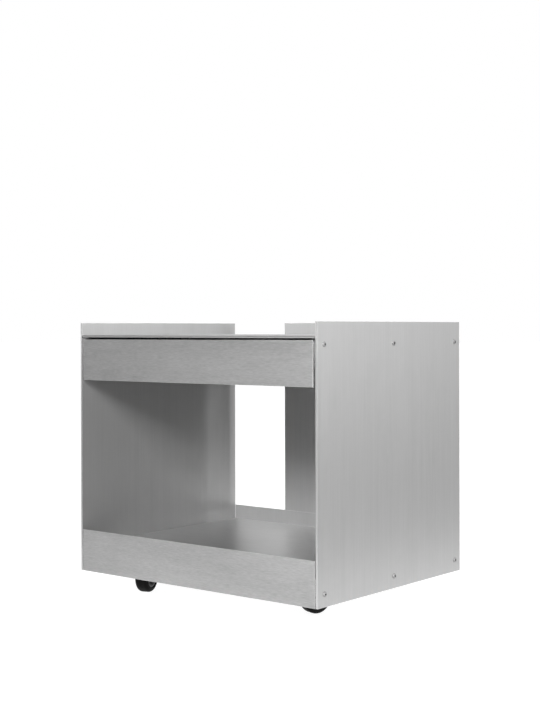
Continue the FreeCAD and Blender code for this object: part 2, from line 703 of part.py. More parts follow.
def ball_cage(side, sign, name, start, reach, line, centre):
    """A thin channel with a row of balls in each leg, and the balls themselves."""
    cage = channel(f"{side}_{name}_cage", sign, start, "cage_web", reach,
                   f"({centre} + cage_leg / 2)", "cage_leg", "cage_length")
    rows = [f"cage_length * {index + 0.5} / {SLIDE_BALLS_PER_LEG}" for index in range(SLIDE_BALLS_PER_LEG)]
    windows = [(f"{sign} * {line}", row, "ball_radius + ball_play") for row in rows]
    pocket(cage, sketch(cage, "XY_Plane", circles=windows))
    face_x = f"-{sign} * {FLANGE_FACE}"
    cage_front = f"{SLIDE_FRONT} + cage_start"
    place(cage, face_x, cage_front, SLIDE_MIDDLE)
    node(cage, f"{side}_{name}_cage")

    balls = []
    for row in rows:
        for level in (-1, 1):
            ball = doc.addObject("Part::Sphere", f"{side}_{name}_ball")
            bind(ball, "Radius", "ball_radius")
            place(ball, f"{face_x} + {sign} * {line}", f"{cage_front} + {row}",
                  f"{SLIDE_MIDDLE} + {level} * {centre}")
            balls.append(ball)
    node(group(f"{side}_{name}_balls", balls), f"{side}_{name}_balls")


def drawer_slides():
    """Two full-extension slides: outer, middle and inner members with ball cages between them."""
    for side, sign in SIDES:
        spot = (f"-{sign} * {FLANGE_FACE}", SLIDE_FRONT, SLIDE_MIDDLE)
        outer = channel(f"{side}_slide_outer", sign, "0", "outer_web", "lip_reach",
                        "outer_half", "outer_lip", "outer_length")
        threads = [(f"{row} - slide_setback", f"{UPPER_SCREWS} - {SLIDE_MIDDLE}", SCREW_HOLE)
                   for row in SCREW_ROWS]
        pocket(outer, sketch(outer, "YZ_Plane", circles=threads))
        middle = channel(f"{side}_slide_middle", sign, "middle_start", "member_sheet", "lip_reach",
                         "middle_half", "member_sheet", "inner_length")
        inner = channel(f"{side}_slide_inner", sign, "slide_thickness", "inner_web", "inner_lip_start",
                        "inner_half", "member_sheet", "inner_length")
        holes = [(row, "0", STUD_HOLE) for row in SLIDE_SCREW_ROWS]
        pocket(inner, sketch(inner, "YZ_Plane", circles=holes))
        for member, name in ((outer, "outer"), (middle, "middle"), (inner, "inner")):
            place(member, *spot)
            node(member, f"{side}_slide_{name}")
        outer_race = "((outer_half - outer_lip + middle_half) / 2)"
        inner_race = "((middle_half - member_sheet + inner_half) / 2)"
        ball_cage(side, sign, "outer", "outer_cage_start", "outer_cage_reach", "outer_ball_line", outer_race)
        ball_cage(side, sign, "inner", "inner_cage_start", "inner_cage_reach", "inner_ball_line", inner_race)


def slide_stops():
    """Rubber blocks in the outer members, where the closed drawer comes to rest."""
    stops = []
    for side, sign in SIDES:
        body = new_body(f"{side}_stop")
        block = rectangle(f"{sign} * outer_web", "-stop_half", f"{sign} * lip_reach", "stop_half")
        pad(body, sketch(body, "XZ_Plane", [block]), "stop_length", backwards=True)
        place(body, f"-{sign} * {FLANGE_FACE}", f"{SLIDE_FRONT} + inner_length + stop_gap", SLIDE_MIDDLE)
        stops.append(body)
    node(group("slide_stops", stops), "slide_stops")


def slide_screws():
    """Low-head screws from inside the drawer box into the inner members."""
    screw = turned("low_head_screw", (
        ("0", "-box_sheet - inner_web"), ("stud_radius", "-box_sheet - inner_web"), ("stud_radius", "0"),
        ("slide_screw_head", "0"), ("slide_screw_head", "slide_screw_head_height / 2"),
        ("slide_screw_head / 2", "slide_screw_head_height"), ("0", "slide_screw_head_height"),
    ))
    wall = f"({BOX_HALF} - box_sheet)"
    spots = [(f"-{wall}", f"{SLIDE_FRONT} + {row}", SLIDE_MIDDLE, "+X") for row in SLIDE_SCREW_ROWS]
    spots += [(wall, f"{SLIDE_FRONT} + {row}", SLIDE_MIDDLE, "-X") for row in SLIDE_SCREW_ROWS]
    copies("slide_screws", screw, spots)


def caster_spot(side, end):
    """The swivel axis of a corner, seen from above."""
    edge = "caster_end_inset" if end < 0 else "panel_depth - caster_end_inset"
    return f"{side} * {SWIVEL_X}", f"{FRONT} + {edge}"


def turn_to_rest(thing, corner, side, end):
    """Puts a caster piece on its swivel axis, turned as the trolley stands."""
    x, y = caster_spot(side, end)
    place(thing, x, y, "0", FreeCAD.Rotation(Z_AXIS, value_of(f"{corner}_turn")))
    bind(thing, "Placement.Rotation.Angle", f"{corner}_turn")


def plate_holes():
    """The four screws of a caster plate, about its middle."""
    return [(f"{across} * plate_hole_length / 2", f"{along} * plate_hole_width / 2")
            for across in (-1, 1) for along in (-1, 1)]


def caster_plate(corner, side, end):
    """Top plate with four holes and the cup of the swivel under it."""
    body = new_body(f"{corner}_caster_plate")
    border = rectangle("-plate_length / 2", "-plate_width / 2", "plate_length / 2", "plate_width / 2")
    holes = [(across, along, CASTER_HOLE) for across, along in plate_holes()]
    face = sketch(body, "XY_Plane", [border], holes)
    bind(face, "AttachmentOffset.Base.z", PLATE_BOTTOM)
    pad(body, face, "plate_sheet")
    fillet(body, "plate_corner", is_plate_corner)
    rim = f"({CUP_BOTTOM} - 2 * swivel_ball_radius - 2 * swivel_play + cup_gap)"
    bore = "(kingpin_radius + kingpin_play)"
    inside_rim = "(cup_radius - cup_wall)"
    cup = (
        (bore, PLATE_BOTTOM), ("cup_radius", PLATE_BOTTOM), ("cup_radius", rim), (inside_rim, rim),
        (inside_rim, CUP_BOTTOM), (bore, CUP_BOTTOM),
    )
    revolve(body, sketch(body, "XZ_Plane", [cup]))
    pocket(body, sketch(body, "XY_Plane", circles=[("0", "0", bore)]))
    x, y = caster_spot(side, end)
    place(body, x, y)
    node(body, f"{corner}_caster_plate")


def is_plate_corner(edge):
    """Picks the upright edges of the plate's corners."""
    return is_straight(edge) and edge.BoundBox.ZLength > value_of("plate_sheet") / 2


def swivel_fork(corner, side, end):
    """Fork whose legs slant back from the crown to the axle."""
    body = new_body(f"{corner}_fork")
    axle_y = "-caster_trail"
    foot = "(wheel_radius - fork_end_drop)"
    leg = (
        ("crown_front", "crown_top"), ("crown_front", "crown_top - crown_side"),
        (f"{axle_y} + fork_end_half", foot), (f"{axle_y} - fork_end_half", foot),
        ("-crown_back", "crown_top"),
    )
    pad(body, sketch(body, "YZ_Plane", [leg]), f"2 * {FORK_HALF}", both_ways=True)
    fillet(body, "fork_end_round", is_fork_foot)
    fillet(body, "crown_corner", is_crown_corner)
    space = rectangle("-fork_space / 2", "0", "fork_space / 2", "crown_top - crown_plate")
    pocket(body, sketch(body, "XZ_Plane", [space]))
    pocket(body, sketch(body, "YZ_Plane", circles=[(axle_y, "wheel_radius", "axle_radius + axle_play")]))
    pocket(body, sketch(body, "XY_Plane", circles=[("0", "0", "kingpin_radius + kingpin_play")]))
    turn_to_rest(body, corner, side, end)
    node(body, f"{corner}_fork")


def is_fork_foot(edge):
    """Picks the two edges across the lower ends of the legs."""
    across = is_straight(edge) and edge.BoundBox.XLength > value_of("fork_space")
    return across and edge.BoundBox.Center.z < value_of("wheel_radius")


def is_crown_corner(edge):
    """Picks the two upright edges at the front of the crown."""
    upright = is_straight(edge) and edge.BoundBox.ZLength > value_of("crown_side / 2")
    return upright and edge.BoundBox.YLength < NEAR and edge.BoundBox.XLength < NEAR


def caster_axle(corner, side, end):
    """Sleeve between the legs, and the bolt with its nut."""
    start = "(fork_space / 2)"
    axis_spot = {"y": "-caster_trail", "z": "wheel_radius", "facing": "+X"}
    tube = cylinder("sleeve_blank", "sleeve_radius", "fork_space", x=f"-{start}", **axis_spot)
    bore = cylinder("sleeve_bore", "axle_radius + axle_play", "fork_space", x=f"-{start}", **axis_spot)
    sleeve = cut(f"{corner}_axle_sleeve", tube, bore)
    turn_to_rest(sleeve, corner, side, end)
    node(sleeve, f"{corner}_axle_sleeve")

    far_end = f"({FORK_HALF} + axle_nut_height + axle_spare)"
    shank = cylinder("axle_shank", "axle_radius", f"{far_end} + {FORK_HALF}", x=f"-{far_end}", **axis_spot)
    head = hexagon("axle_head", "axle_hex_radius", "axle_head_height", x=FORK_HALF, **axis_spot)
    nut_x = f"-{FORK_HALF} - axle_nut_height"
    blank = hexagon("axle_nut_blank", "axle_hex_radius", "axle_nut_height", x=nut_x, **axis_spot)
    thread = cylinder("axle_nut_bore", "axle_radius + axle_play", "axle_nut_height", x=nut_x, **axis_spot)
    bolt = joined("axle_bolt_solid", [shank, head])
    axle = group(f"{corner}_axle_bolt", [bolt, cut("axle_nut", blank, thread)])
    turn_to_rest(axle, corner, side, end)
    node(axle, f"{corner}_axle_bolt")


def wheel(corner, side, end):
    """Hub with a thin disc, and the tyre round it. Both are turned on the axle line."""
    bore = "(sleeve_radius + sleeve_play)"
    boss_half = "(fork_space / 2 - boss_gap)"
    rim_inside = "(rim_radius - rim_sheet)"
    hub = turned(f"{corner}_wheel_hub_blank", (
        (bore, f"-{boss_half}"), ("boss_radius", f"-{boss_half}"), ("boss_radius", "-disc_width / 2"),
        (rim_inside, "-disc_width / 2"), (rim_inside, "-rim_width / 2"), ("rim_radius", "-rim_width / 2"),
        ("rim_radius", "rim_width / 2"), (rim_inside, "rim_width / 2"), (rim_inside, "disc_width / 2"),
        ("boss_radius", "disc_width / 2"), ("boss_radius", boss_half), (bore, boss_half),
    ))
    tyre = turned(f"{corner}_tyre_blank", (
        ("rim_radius", "-rim_width / 2"), ("rim_radius + tyre_lip", "-wheel_width / 2"),
        ("wheel_radius", "-wheel_width / 2"), ("wheel_radius", "wheel_width / 2"),
        ("rim_radius + tyre_lip", "wheel_width / 2"), ("rim_radius", "rim_width / 2"),
    ))
    for end_face in (-1, 1):
        height = end_face * value_of("wheel_width / 2")
        fillet(tyre, "tread_round", circle_at(height, value_of("wheel_radius")))
    for piece, name in ((hub, "wheel_hub"), (tyre, "tyre")):
        place(piece, "0", "-caster_trail", "wheel_radius", FACING["+X"])
        standing = group(f"{corner}_{name}", [piece])
        turn_to_rest(standing, corner, side, end)
        node(standing, f"{corner}_{name}")


def caster_hardware():
    """King pins, swivel balls, threaded pads and plate screws of all four casters."""
    pin = turned("kingpin_blank", (
        ("0", "plate_height"), ("kingpin_radius", "plate_height"),
        ("kingpin_radius", "crown_top - crown_plate - swivel_play"),
        ("kingpin_head_radius", "crown_top - crown_plate - swivel_play"),
        ("kingpin_head_radius", "crown_top - crown_plate - swivel_play - kingpin_head_height"),
        ("0", "crown_top - crown_plate - swivel_play - kingpin_head_height"),
    ))
    screw = turned("plate_screw_shank", (
        ("0", "0"), ("caster_screw_radius", "0"),
        ("caster_screw_radius", "caster_screw_length"), ("0", "caster_screw_length"),
    ))
    head = hexagon("plate_screw_head", "caster_screw_hex", "caster_screw_head", z="-caster_screw_head")
    plate_screw = joined("plate_screw", [screw, head])
    pin_spots = []
    screw_spots = []
    pads = []
    balls = []
    for corner, side, end in CORNERS:
        x, y = caster_spot(side, end)
        pin_spots.append((x, y, "0", "+Z"))
        screw_spots += [(f"{x} + {across}", f"{y} + {along}", PLATE_BOTTOM, "+Z")
                        for across, along in plate_holes()]
        pad_body = new_body(f"{corner}_pad")
        border = rectangle("-pad_length / 2", "-pad_width / 2", "pad_length / 2", "pad_width / 2")
        circles = [(across, along, CASTER_HOLE) for across, along in plate_holes()]
        pad(pad_body, sketch(pad_body, "XY_Plane", [border], circles), f"{FLOOR_UNDERSIDE} - plate_height")
        place(pad_body, x, y, "plate_height")
        pads.append(pad_body)
        balls += swivel_balls(x, y)
    copies("kingpins", pin, pin_spots)
    copies("caster_screws", plate_screw, screw_spots)
    node(group("caster_pads", pads), "caster_pads")
    node(group("swivel_balls", balls), "swivel_balls")


def swivel_balls(x, y):
    """The ring of balls between one crown and its cup."""
    balls = []
    for index in range(SWIVEL_BALLS):
        angle = f"{360 * index / SWIVEL_BALLS} deg"
        ball = doc.addObject("Part::Sphere", "swivel_ball")
        bind(ball, "Radius", "swivel_ball_radius")
        place(ball, f"{x} + swivel_ball_ring * cos({angle})", f"{y} + swivel_ball_ring * sin({angle})",
              "crown_top + swivel_play + swivel_ball_radius")
        balls.append(ball)
    return balls


def casters():
    """Four swivel casters, each with a plate, a fork, an axle and a wheel."""
    for corner, side, end in CORNERS:
        caster_plate(corner, side, end)
        swivel_fork(corner, side, end)
        caster_axle(corner, side, end)
        wheel(corner, side, end)
    caster_hardware()


def check_and_write():
    """Stops if anything failed, then writes each sub-part to its own file."""
    doc.recompute()
    for thing in doc.Objects:
        if "Invalid" in thing.State or "Error" in thing.State:
            raise ValueError(f"{thing.Label} failed: {thing.State}")
    for name, thing in nodes:
        if thing.Shape.isNull() or not thing.Shape.isValid() or not thing.Shape.Solids:
            raise ValueError(f"{name} has no valid solid")
    os.makedirs("parts", exist_ok=True)
    for name, thing in nodes:
        thing.Shape.exportStep(f"parts/{name}.step")
        print(f"{name}: {len(thing.Shape.Solids)} solid(s), {thing.Shape.Volume / 1000:.1f} cm3")


side_panels()
top_shelf()
tray_floor()
aprons()
back_spine()
carcass_screws()
drawer_front()
drawer_box()
drawer_slides()
slide_stops()
slide_screws()
casters()
check_and_write()
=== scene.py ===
"""Looks of the serving trolley: brushed sheets, screws, drawer slides, casters and a pale studio."""

import json
import math

import bmesh
import bpy
import numpy as np
from bpy.props import FloatProperty, FloatVectorProperty, IntProperty, PointerProperty
from bpy.types import NodeSocket, Operator, Panel, PropertyGroup
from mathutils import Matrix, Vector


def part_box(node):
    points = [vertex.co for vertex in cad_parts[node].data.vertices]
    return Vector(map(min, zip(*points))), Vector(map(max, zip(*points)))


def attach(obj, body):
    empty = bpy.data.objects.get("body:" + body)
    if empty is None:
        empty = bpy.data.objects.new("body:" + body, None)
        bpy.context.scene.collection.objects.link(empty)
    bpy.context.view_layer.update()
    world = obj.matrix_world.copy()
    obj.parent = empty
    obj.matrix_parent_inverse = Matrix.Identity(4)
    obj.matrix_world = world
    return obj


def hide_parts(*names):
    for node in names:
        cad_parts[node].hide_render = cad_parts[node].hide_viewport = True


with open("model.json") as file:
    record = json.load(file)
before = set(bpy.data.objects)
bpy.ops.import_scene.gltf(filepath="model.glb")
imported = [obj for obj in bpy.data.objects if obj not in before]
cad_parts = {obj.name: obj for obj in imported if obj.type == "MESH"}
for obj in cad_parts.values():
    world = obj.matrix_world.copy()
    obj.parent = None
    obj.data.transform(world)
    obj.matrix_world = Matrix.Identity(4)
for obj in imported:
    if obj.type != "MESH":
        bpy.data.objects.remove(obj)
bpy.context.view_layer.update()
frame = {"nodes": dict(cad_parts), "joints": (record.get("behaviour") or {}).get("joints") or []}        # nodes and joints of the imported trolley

bl_info = {
    "name": "Serving trolley looks",
    "version": (1, 0, 0),
    "blender": (4, 5, 0),
    "location": "View3D > Sidebar > Trolley",
    "description": "Dresses the serving trolley's frame and sets it in a pale studio",
    "category": "Object",
}

MILLIMETRE = 0.001
IMAGE_HEIGHT = 720
HORIZON_ROW = 329.2      # the picture's row, from its top, that is level with the camera
FOCAL_PIXELS = 1306.7
CAMERA_ROLL = math.radians(0.142)
FILM_LONG_SIDE = 36.0
CAMERA_REACH = 200.0
BACKDROP_LIFT = math.radians(30)         # from the horizon to the white backdrop's middle
BACKDROP_INSIDE = math.radians(25)       # from its middle to where it starts to fade
BACKDROP_OUTSIDE = math.radians(55)      # from its middle to where it has gone
PAPER_FADE = 1.2
FLOOR_REACH = 40.0
QUARTER_TURN = 0.25      # a share of a whole turn, as the shader counts
SOCKET_MARK = "socket"

CORNERS = ("front_left", "front_right", "rear_left", "rear_right")
SIDES = ("left", "right")
UPRIGHT_SHEETS = ("left_side_panel", "right_side_panel", "back_spine", "rear_apron")
FRONT_SHEETS = ("front_apron", "drawer_front")
DRAWER_ENDS = ("drawer_box_front", "drawer_box_back")
PLATED_NODES = (
    "clinch_nuts", "drawer_front_nuts", "slide_screws", "kingpins", "caster_screws", "caster_pads")
SLIDE_NODES = tuple(f"{side}_slide_{member}" for side in SIDES for member in ("outer", "middle", "inner"))
CAGE_NODES = tuple(f"{side}_{row}_cage" for side in SIDES for row in ("outer", "inner"))
BALL_NODES = tuple(f"{side}_{row}_balls" for side in SIDES for row in ("outer", "inner")) + ("swivel_balls",)
AXLE_NODES = tuple(f"{corner}_axle_{piece}" for corner in CORNERS for piece in ("sleeve", "bolt"))
FORK_NODES = tuple(f"{corner}_{piece}" for corner in CORNERS for piece in ("caster_plate", "fork"))


# Kinds of settings: a DEPTH may be nothing, a SIZE may not

SHARE = {"subtype": "FACTOR", "min": 0, "max": 1}
COLOUR = {"subtype": "COLOR", "size": 3, "min": 0, "max": 1}
PLACE = {"subtype": "TRANSLATION", "size": 3}
POWER = {"unit": "POWER", "min": 0}
DEPTH = {"unit": "LENGTH", "min": 0}
SIZE = {"unit": "LENGTH", "min": 0.0001}


# Settings that a user would change

class BrushedMetalLook(PropertyGroup):
    """Finish of the panels and folded sheets."""
    colour: FloatVectorProperty(
        name="Metal colour", description="Colour of the bare metal", default=(0.5, 0.5, 0.5), **COLOUR)
    metallic: FloatProperty(
        name="Metallic", description="Part of the light that is mirrored", default=0.86, **SHARE)
    roughness: FloatProperty(
        name="Roughness", description="Satin of the sheets that stand upright", default=0.51, **SHARE)
    draw: FloatProperty(
        name="Draw", description="How far the brushing draws reflections out across the grain",
        default=0.7, **SHARE)
    tray_roughness: FloatProperty(
        name="Tray roughness", description="Satin of the tray floor", default=0.35, **SHARE)
    tray_draw: FloatProperty(name="Tray draw", description="Draw of the tray floor", default=0.85, **SHARE)
    shelf_roughness: FloatProperty(
        name="Shelf roughness", description="Satin of the shelf and the drawer box", default=0.62, **SHARE)
    shelf_draw: FloatProperty(
        name="Shelf draw", description="Draw of the shelf and the drawer box", default=0.6, **SHARE)
    shelf_metallic: FloatProperty(
        name="Shelf metallic", description="Part of the light that the shelf and the drawer box mirror",
        default=0.45, **SHARE)
    streak_length: FloatProperty(
        name="Streak length", description="Length of a brush mark on the upright sheets",
        default=0.11, **SIZE)
    streak_width: FloatProperty(
        name="Streak width", description="Width of a brush mark on the upright sheets",
        default=0.0011, **SIZE)
    streak_depth: FloatProperty(
        name="Streak depth", description="Depth of the brush marks", default=0.00005, **DEPTH)
    streak_contrast: FloatProperty(
        name="Streak contrast", description="Change of tone by brush marks on the upright sheets",
        default=0.21, **SHARE)
    stroke_length: FloatProperty(
        name="Stroke length", description="Length of a brush mark on shelf, tray, aprons and drawer",
        default=0.014, **SIZE)
    stroke_width: FloatProperty(
        name="Stroke width", description="Width of a brush mark on shelf, tray, aprons and drawer",
        default=0.0016, **SIZE)
    stroke_contrast: FloatProperty(
        name="Stroke contrast", description="Change of tone by brush marks on front apron and drawer front",
        default=0.65, **SHARE)
    shelf_contrast: FloatProperty(
        name="Shelf contrast", description="Change of tone by brush marks on shelf, tray and drawer box",
        default=0.3, **SHARE)
    # Painted highlight: the cut edges and folds of a sheet are made lighter in colour, along a line that is
    # also polished.
    edge_width: FloatProperty(
        name="Edge width", description="Width of the polished line along a sheet's edges",
        default=0.001, **DEPTH)
    painted_edge_highlight: FloatProperty(
        name="Edge shine", description="How much lighter the cut edges of a sheet are",
        default=0.33, **SHARE)
    # Painted shade: a darker line along the shelf's edges and along the top of its folded front.
    painted_shade_width: FloatProperty(
        name="Seam width", description="Width of the dark seam along the shelf's edges",
        default=0.003, **SIZE)
    painted_shade_amount: FloatProperty(
        name="Seam shade", description="How much darker the seam along the shelf's edges is",
        default=0.6, **SHARE)


class SlideLook(PropertyGroup):
    """Drawer slides, their balls and stops, and the fasteners that are out of sight."""
    plate_colour: FloatVectorProperty(
        name="Plate colour", description="Colour of the slide members",
        default=(0.56, 0.565, 0.57), **COLOUR)
    plate_roughness: FloatProperty(
        name="Plate roughness", description="Satin of the slide members", default=0.32, **SHARE)
    dull_colour: FloatVectorProperty(
        name="Dull plate colour", description="Colour of the ball cages, nuts, axles and kingpins",
        default=(0.5, 0.505, 0.51), **COLOUR)
    dull_roughness: FloatProperty(
        name="Dull plate roughness", description="Satin of the ball cages, nuts, axles and kingpins",
        default=0.4, **SHARE)
    ball_colour: FloatVectorProperty(
        name="Ball colour", description="Colour of the steel balls", default=(0.62, 0.62, 0.62), **COLOUR)
    ball_roughness: FloatProperty(
        name="Ball roughness", description="Satin of the steel balls", default=0.08, **SHARE)
    stop_colour: FloatVectorProperty(
        name="Stop colour", description="Colour of the rubber drawer stops",
        default=(0.03, 0.03, 0.03), **COLOUR)


class ScrewLook(PropertyGroup):
    """Button heads that hold the panels and the spine."""
    colour: FloatVectorProperty(
        name="Screw colour", description="Colour of the screws", default=(0.4, 0.4, 0.4), **COLOUR)
    roughness: FloatProperty(name="Roughness", description="Satin of the screws", default=0.66, **SHARE)
    # Painted shade inside the hexagon socket.
    socket_shade: FloatProperty(
        name="Socket shade", description="How much darker the inside of the socket is",
        default=0.92, **SHARE)
    head_radius: FloatProperty(
        name="Head radius", description="Radius of the button head", default=4.75 * MILLIMETRE, **SIZE)
    shank_radius: FloatProperty(
        name="Shank radius", description="Outer radius of the thread", default=2.5 * MILLIMETRE, **SIZE)
    thread_pitch: FloatProperty(
        name="Thread pitch", description="Distance from one thread to the next",
        default=0.8 * MILLIMETRE, **SIZE)
    socket_flats: FloatProperty(
        name="Socket", description="Width of the hexagon socket across its flats",
        default=3.0 * MILLIMETRE, **SIZE)
    socket_depth: FloatProperty(
        name="Socket depth", description="Depth of the hexagon socket", default=1.6 * MILLIMETRE, **SIZE)


class CasterLook(PropertyGroup):
    """Black casters with rubber tyres."""
    paint_colour: FloatVectorProperty(
        name="Paint colour", description="Colour of the forks and plates",
        default=(0.008, 0.008, 0.008), **COLOUR)
    tyre_colour: FloatVectorProperty(
        name="Tyre colour", description="Colour of the rubber", default=(0.016, 0.016, 0.016), **COLOUR)
    hub_colour: FloatVectorProperty(
        name="Hub colour", description="Colour of the moulded hub", default=(0.4, 0.4, 0.405), **COLOUR)
    tread_round: FloatProperty(
        name="Tread round", description="Rounding of the tyre's shoulders", default=8.0 * MILLIMETRE, **SIZE)
    parting_groove: FloatProperty(
        name="Parting groove", description="Depth of the line round the middle of the tread",
        default=0.25 * MILLIMETRE, **DEPTH)
    tyre_width: FloatProperty(
        name="Tyre width", description="Width of the tyre", default=28.0 * MILLIMETRE, **SIZE)
    rim_radius: FloatProperty(
        name="Rim radius", description="Outside of the hub, under the tyre",
        default=20.0 * MILLIMETRE, **SIZE)
    rim_wall: FloatProperty(
        name="Rim wall", description="Thickness of the hub's rim", default=3.0 * MILLIMETRE, **SIZE)
    rim_width: FloatProperty(
        name="Rim width", description="Width of the hub's rim", default=24.0 * MILLIMETRE, **SIZE)
    web_width: FloatProperty(
        name="Web width", description="Thickness of the hub between boss and rim",
        default=8.0 * MILLIMETRE, **SIZE)
    boss_radius: FloatProperty(
        name="Boss radius", description="Outside of the hub's boss", default=8.0 * MILLIMETRE, **SIZE)
    boss_width: FloatProperty(
        name="Boss width", description="Length of the hub's boss", default=30.2 * MILLIMETRE, **SIZE)
    bore_radius: FloatProperty(
        name="Bore radius", description="Hole for the axle sleeve", default=4.08 * MILLIMETRE, **SIZE)
    hub_ribs: IntProperty(
        name="Hub ribs", description="Ribs from the hub's boss to its rim", min=3, max=12, default=6)


class StudioLook(PropertyGroup):
    """Camera, floor and light."""
    camera_place: FloatVectorProperty(
        name="Camera", description="Where the camera stands", default=(1.6693, -2.0490, 0.5265), **PLACE)
    camera_turn: FloatProperty(
        name="Camera turn", description="How far round to the right it stands", subtype="ANGLE",
        default=math.radians(39.18))
    floor_colour: FloatVectorProperty(
        name="Floor colour", description="Colour of the floor", default=(0.3, 0.3, 0.3), **COLOUR)
    floor_glow: FloatProperty(
        name="Floor glow", description="Part of its white that no shadow takes away", default=0.94, **SHARE)
    paper_front: FloatProperty(
        name="Paper front", description="How far in front of the trolley the paper ends",
        default=1.22, **DEPTH)
    paper_half: FloatProperty(
        name="Paper half width", description="Half the width of the white paper", default=0.68, **SIZE)
    room_level: FloatProperty(
        name="Room level", description="How light the room around the white backdrop is",
        default=0.03, **SHARE)
    key_place: FloatVectorProperty(
        name="Key softbox", description="Where the softbox before the trolley hangs",
        default=(0.50, -2.15, 1.5), **PLACE)
    key_power: FloatProperty(
        name="Key power", description="Power of the softbox before the trolley", default=108.0, **POWER)
    key_width: FloatProperty(
        name="Key width", description="Width of the softbox before the trolley", default=1.9, **SIZE)
    key_height: FloatProperty(
        name="Key height", description="Height of the softbox before the trolley", default=0.7, **SIZE)
    side_place: FloatVectorProperty(
        name="Side softbox", description="Where the softbox on the right hangs",
        default=(4.5, 0.6, 0.8), **PLACE)
    side_power: FloatProperty(
        name="Side power", description="Power of the softbox on the right", default=73.0, **POWER)
    side_size: FloatProperty(
        name="Side size", description="Side of the softbox on the right", default=0.9, **SIZE)
    board_place: FloatVectorProperty(
        name="White board", description="Where the white board on the left front stands",
        default=(-1.71, -1.38, 0.6), **PLACE)
    board_power: FloatProperty(
        name="Board power", description="Light that the white board gives back", default=2.0, **POWER)
    board_size: FloatProperty(
        name="Board size", description="Side of the white board and of the rear and left softboxes",
        default=1.6, **SIZE)
    rear_place: FloatVectorProperty(
        name="Rear softbox", description="Where the softbox behind on the right hangs",
        default=(1.17, 0.94, 2.0), **PLACE)
    rear_power: FloatProperty(
        name="Rear power", description="Power of the softbox behind on the right", default=17.0, **POWER)
    fill_place: FloatVectorProperty(
        name="Fill softbox", description="Where the softbox on the left hangs",
        default=(-3.4, 0.4, 0.6), **PLACE)
    fill_power: FloatProperty(
        name="Fill power", description="Power of the softbox on the left", default=40.0, **POWER)
    aim: FloatVectorProperty(
        name="Aim", description="Point that the lamps face", default=(0.0, 0.0, 0.3), **PLACE)


# Node trees

def set_inputs(tree, node, inputs):
    """Gives a node's inputs, by name or number, a value each or another node's output."""
    for socket, value in inputs.items():
        if isinstance(value, NodeSocket):
            tree.links.new(value, node.inputs[socket])
        else:
            node.inputs[socket].default_value = value


def add_node(tree, kind, inputs=None, **settings):
    """New node with its settings and its inputs."""
    node = tree.nodes.new(kind)
    for key, value in settings.items():
        setattr(node, key, value)
    set_inputs(tree, node, inputs or {})
    return node


def math_node(tree, operation, *values):
    """Output of one Math node over values or sockets."""
    return add_node(tree, "ShaderNodeMath", dict(enumerate(values)), operation=operation).outputs[0]


def scaled(tree, value, factor, offset):
    """Value times a factor, plus an offset."""
    return math_node(tree, "MULTIPLY_ADD", value, factor, offset)


def vector_node(tree, operation, *values):
    """Vector output of one Vector Math node over vectors or sockets."""
    return add_node(tree, "ShaderNodeVectorMath", dict(enumerate(values)), operation=operation).outputs[0]


def split(tree, vector):
    """X, Y and Z outputs of a vector."""
    return add_node(tree, "ShaderNodeSeparateXYZ", {0: vector}).outputs


def noise(tree, place, scale, detail=2.0, roughness=0.5):
    """Noise between 0 and 1 at a place."""
    inputs = {"Vector": place, "Scale": scale, "Detail": detail, "Roughness": roughness}
    return add_node(tree, "ShaderNodeTexNoise", inputs).outputs["Fac"]


def remap(tree, value, low, high, new_low, new_high):
    """Value carried smoothly from one range to another and held at its ends."""
    inputs = {"Value": value, 1: low, 2: high, 3: new_low, 4: new_high}
    return add_node(tree, "ShaderNodeMapRange", inputs, interpolation_type="SMOOTHSTEP").outputs[0]


def new_group(name, inputs, outputs):
    """Empty shader group: returns its tree, the sockets that it is given and its output node.

    Inputs maps a name to a number's default, or to None for a vector. Outputs names numbers.
    """
    tree = bpy.data.node_groups.new(name, "ShaderNodeTree")
    for socket, default in inputs.items():
        kind = "NodeSocketVector" if default is None else "NodeSocketFloat"
        item = tree.interface.new_socket(socket, in_out="INPUT", socket_type=kind)
        if default is not None:
            item.default_value = default
    for socket in outputs:
        tree.interface.new_socket(socket, in_out="OUTPUT", socket_type="NodeSocketFloat")
    return tree, tree.nodes.new("NodeGroupInput").outputs, tree.nodes.new("NodeGroupOutput")


def brush_marks_group():
    """Brush marks: three noises drawn out along the grain, each wider and longer than the last.

    Place is in brush marks, so one unit is a mark's length along the grain and its width across.
    """
    broad_scale = 0.22
    broad_share = 0.35
    band_scale = 0.045
    band_share = 0.3
    middle = 0.5 * (1 + broad_share + band_share)
    tree, given, result = new_group("Brush marks", {"Place": None, "Contrast": 0.2}, ("Tone", "Height"))
    fine = noise(tree, given["Place"], 1.0, detail=3.0, roughness=0.65)
    broad = noise(tree, given["Place"], broad_scale)
    bands = noise(tree, given["Place"], band_scale, detail=1.0)
    mixed = scaled(tree, broad, broad_share, fine)
    mixed = scaled(tree, bands, band_share, mixed)
    centred = math_node(tree, "SUBTRACT", mixed, middle)
    tone = scaled(tree, centred, given["Contrast"], 1.0)
    set_inputs(tree, result, {"Tone": tone, "Height": fine})
    return tree


def edge_line_group():
    """Mask of the lines along a box's edges: 1 where two of its faces meet, 0 from Width on."""
    tree, given, result = new_group(
        "Edge line", {"Place": None, "Low": None, "High": None, "Width": 0.001}, ("Mask",))
    above = vector_node(tree, "SUBTRACT", given["Place"], given["Low"])
    below = vector_node(tree, "SUBTRACT", given["High"], given["Place"])
    x, y, z = split(tree, vector_node(tree, "MINIMUM", above, below))
    largest = math_node(tree, "MAXIMUM", math_node(tree, "MAXIMUM", x, y), z)
    smallest = math_node(tree, "MINIMUM", math_node(tree, "MINIMUM", x, y), z)
    total = math_node(tree, "ADD", math_node(tree, "ADD", x, y), z)
    second = math_node(tree, "SUBTRACT", math_node(tree, "SUBTRACT", total, largest), smallest)
    share = math_node(tree, "DIVIDE", second, given["Width"])
    set_inputs(tree, result, {"Mask": remap(tree, share, 0.0, 1.0, 1.0, 0.0)})
    return tree


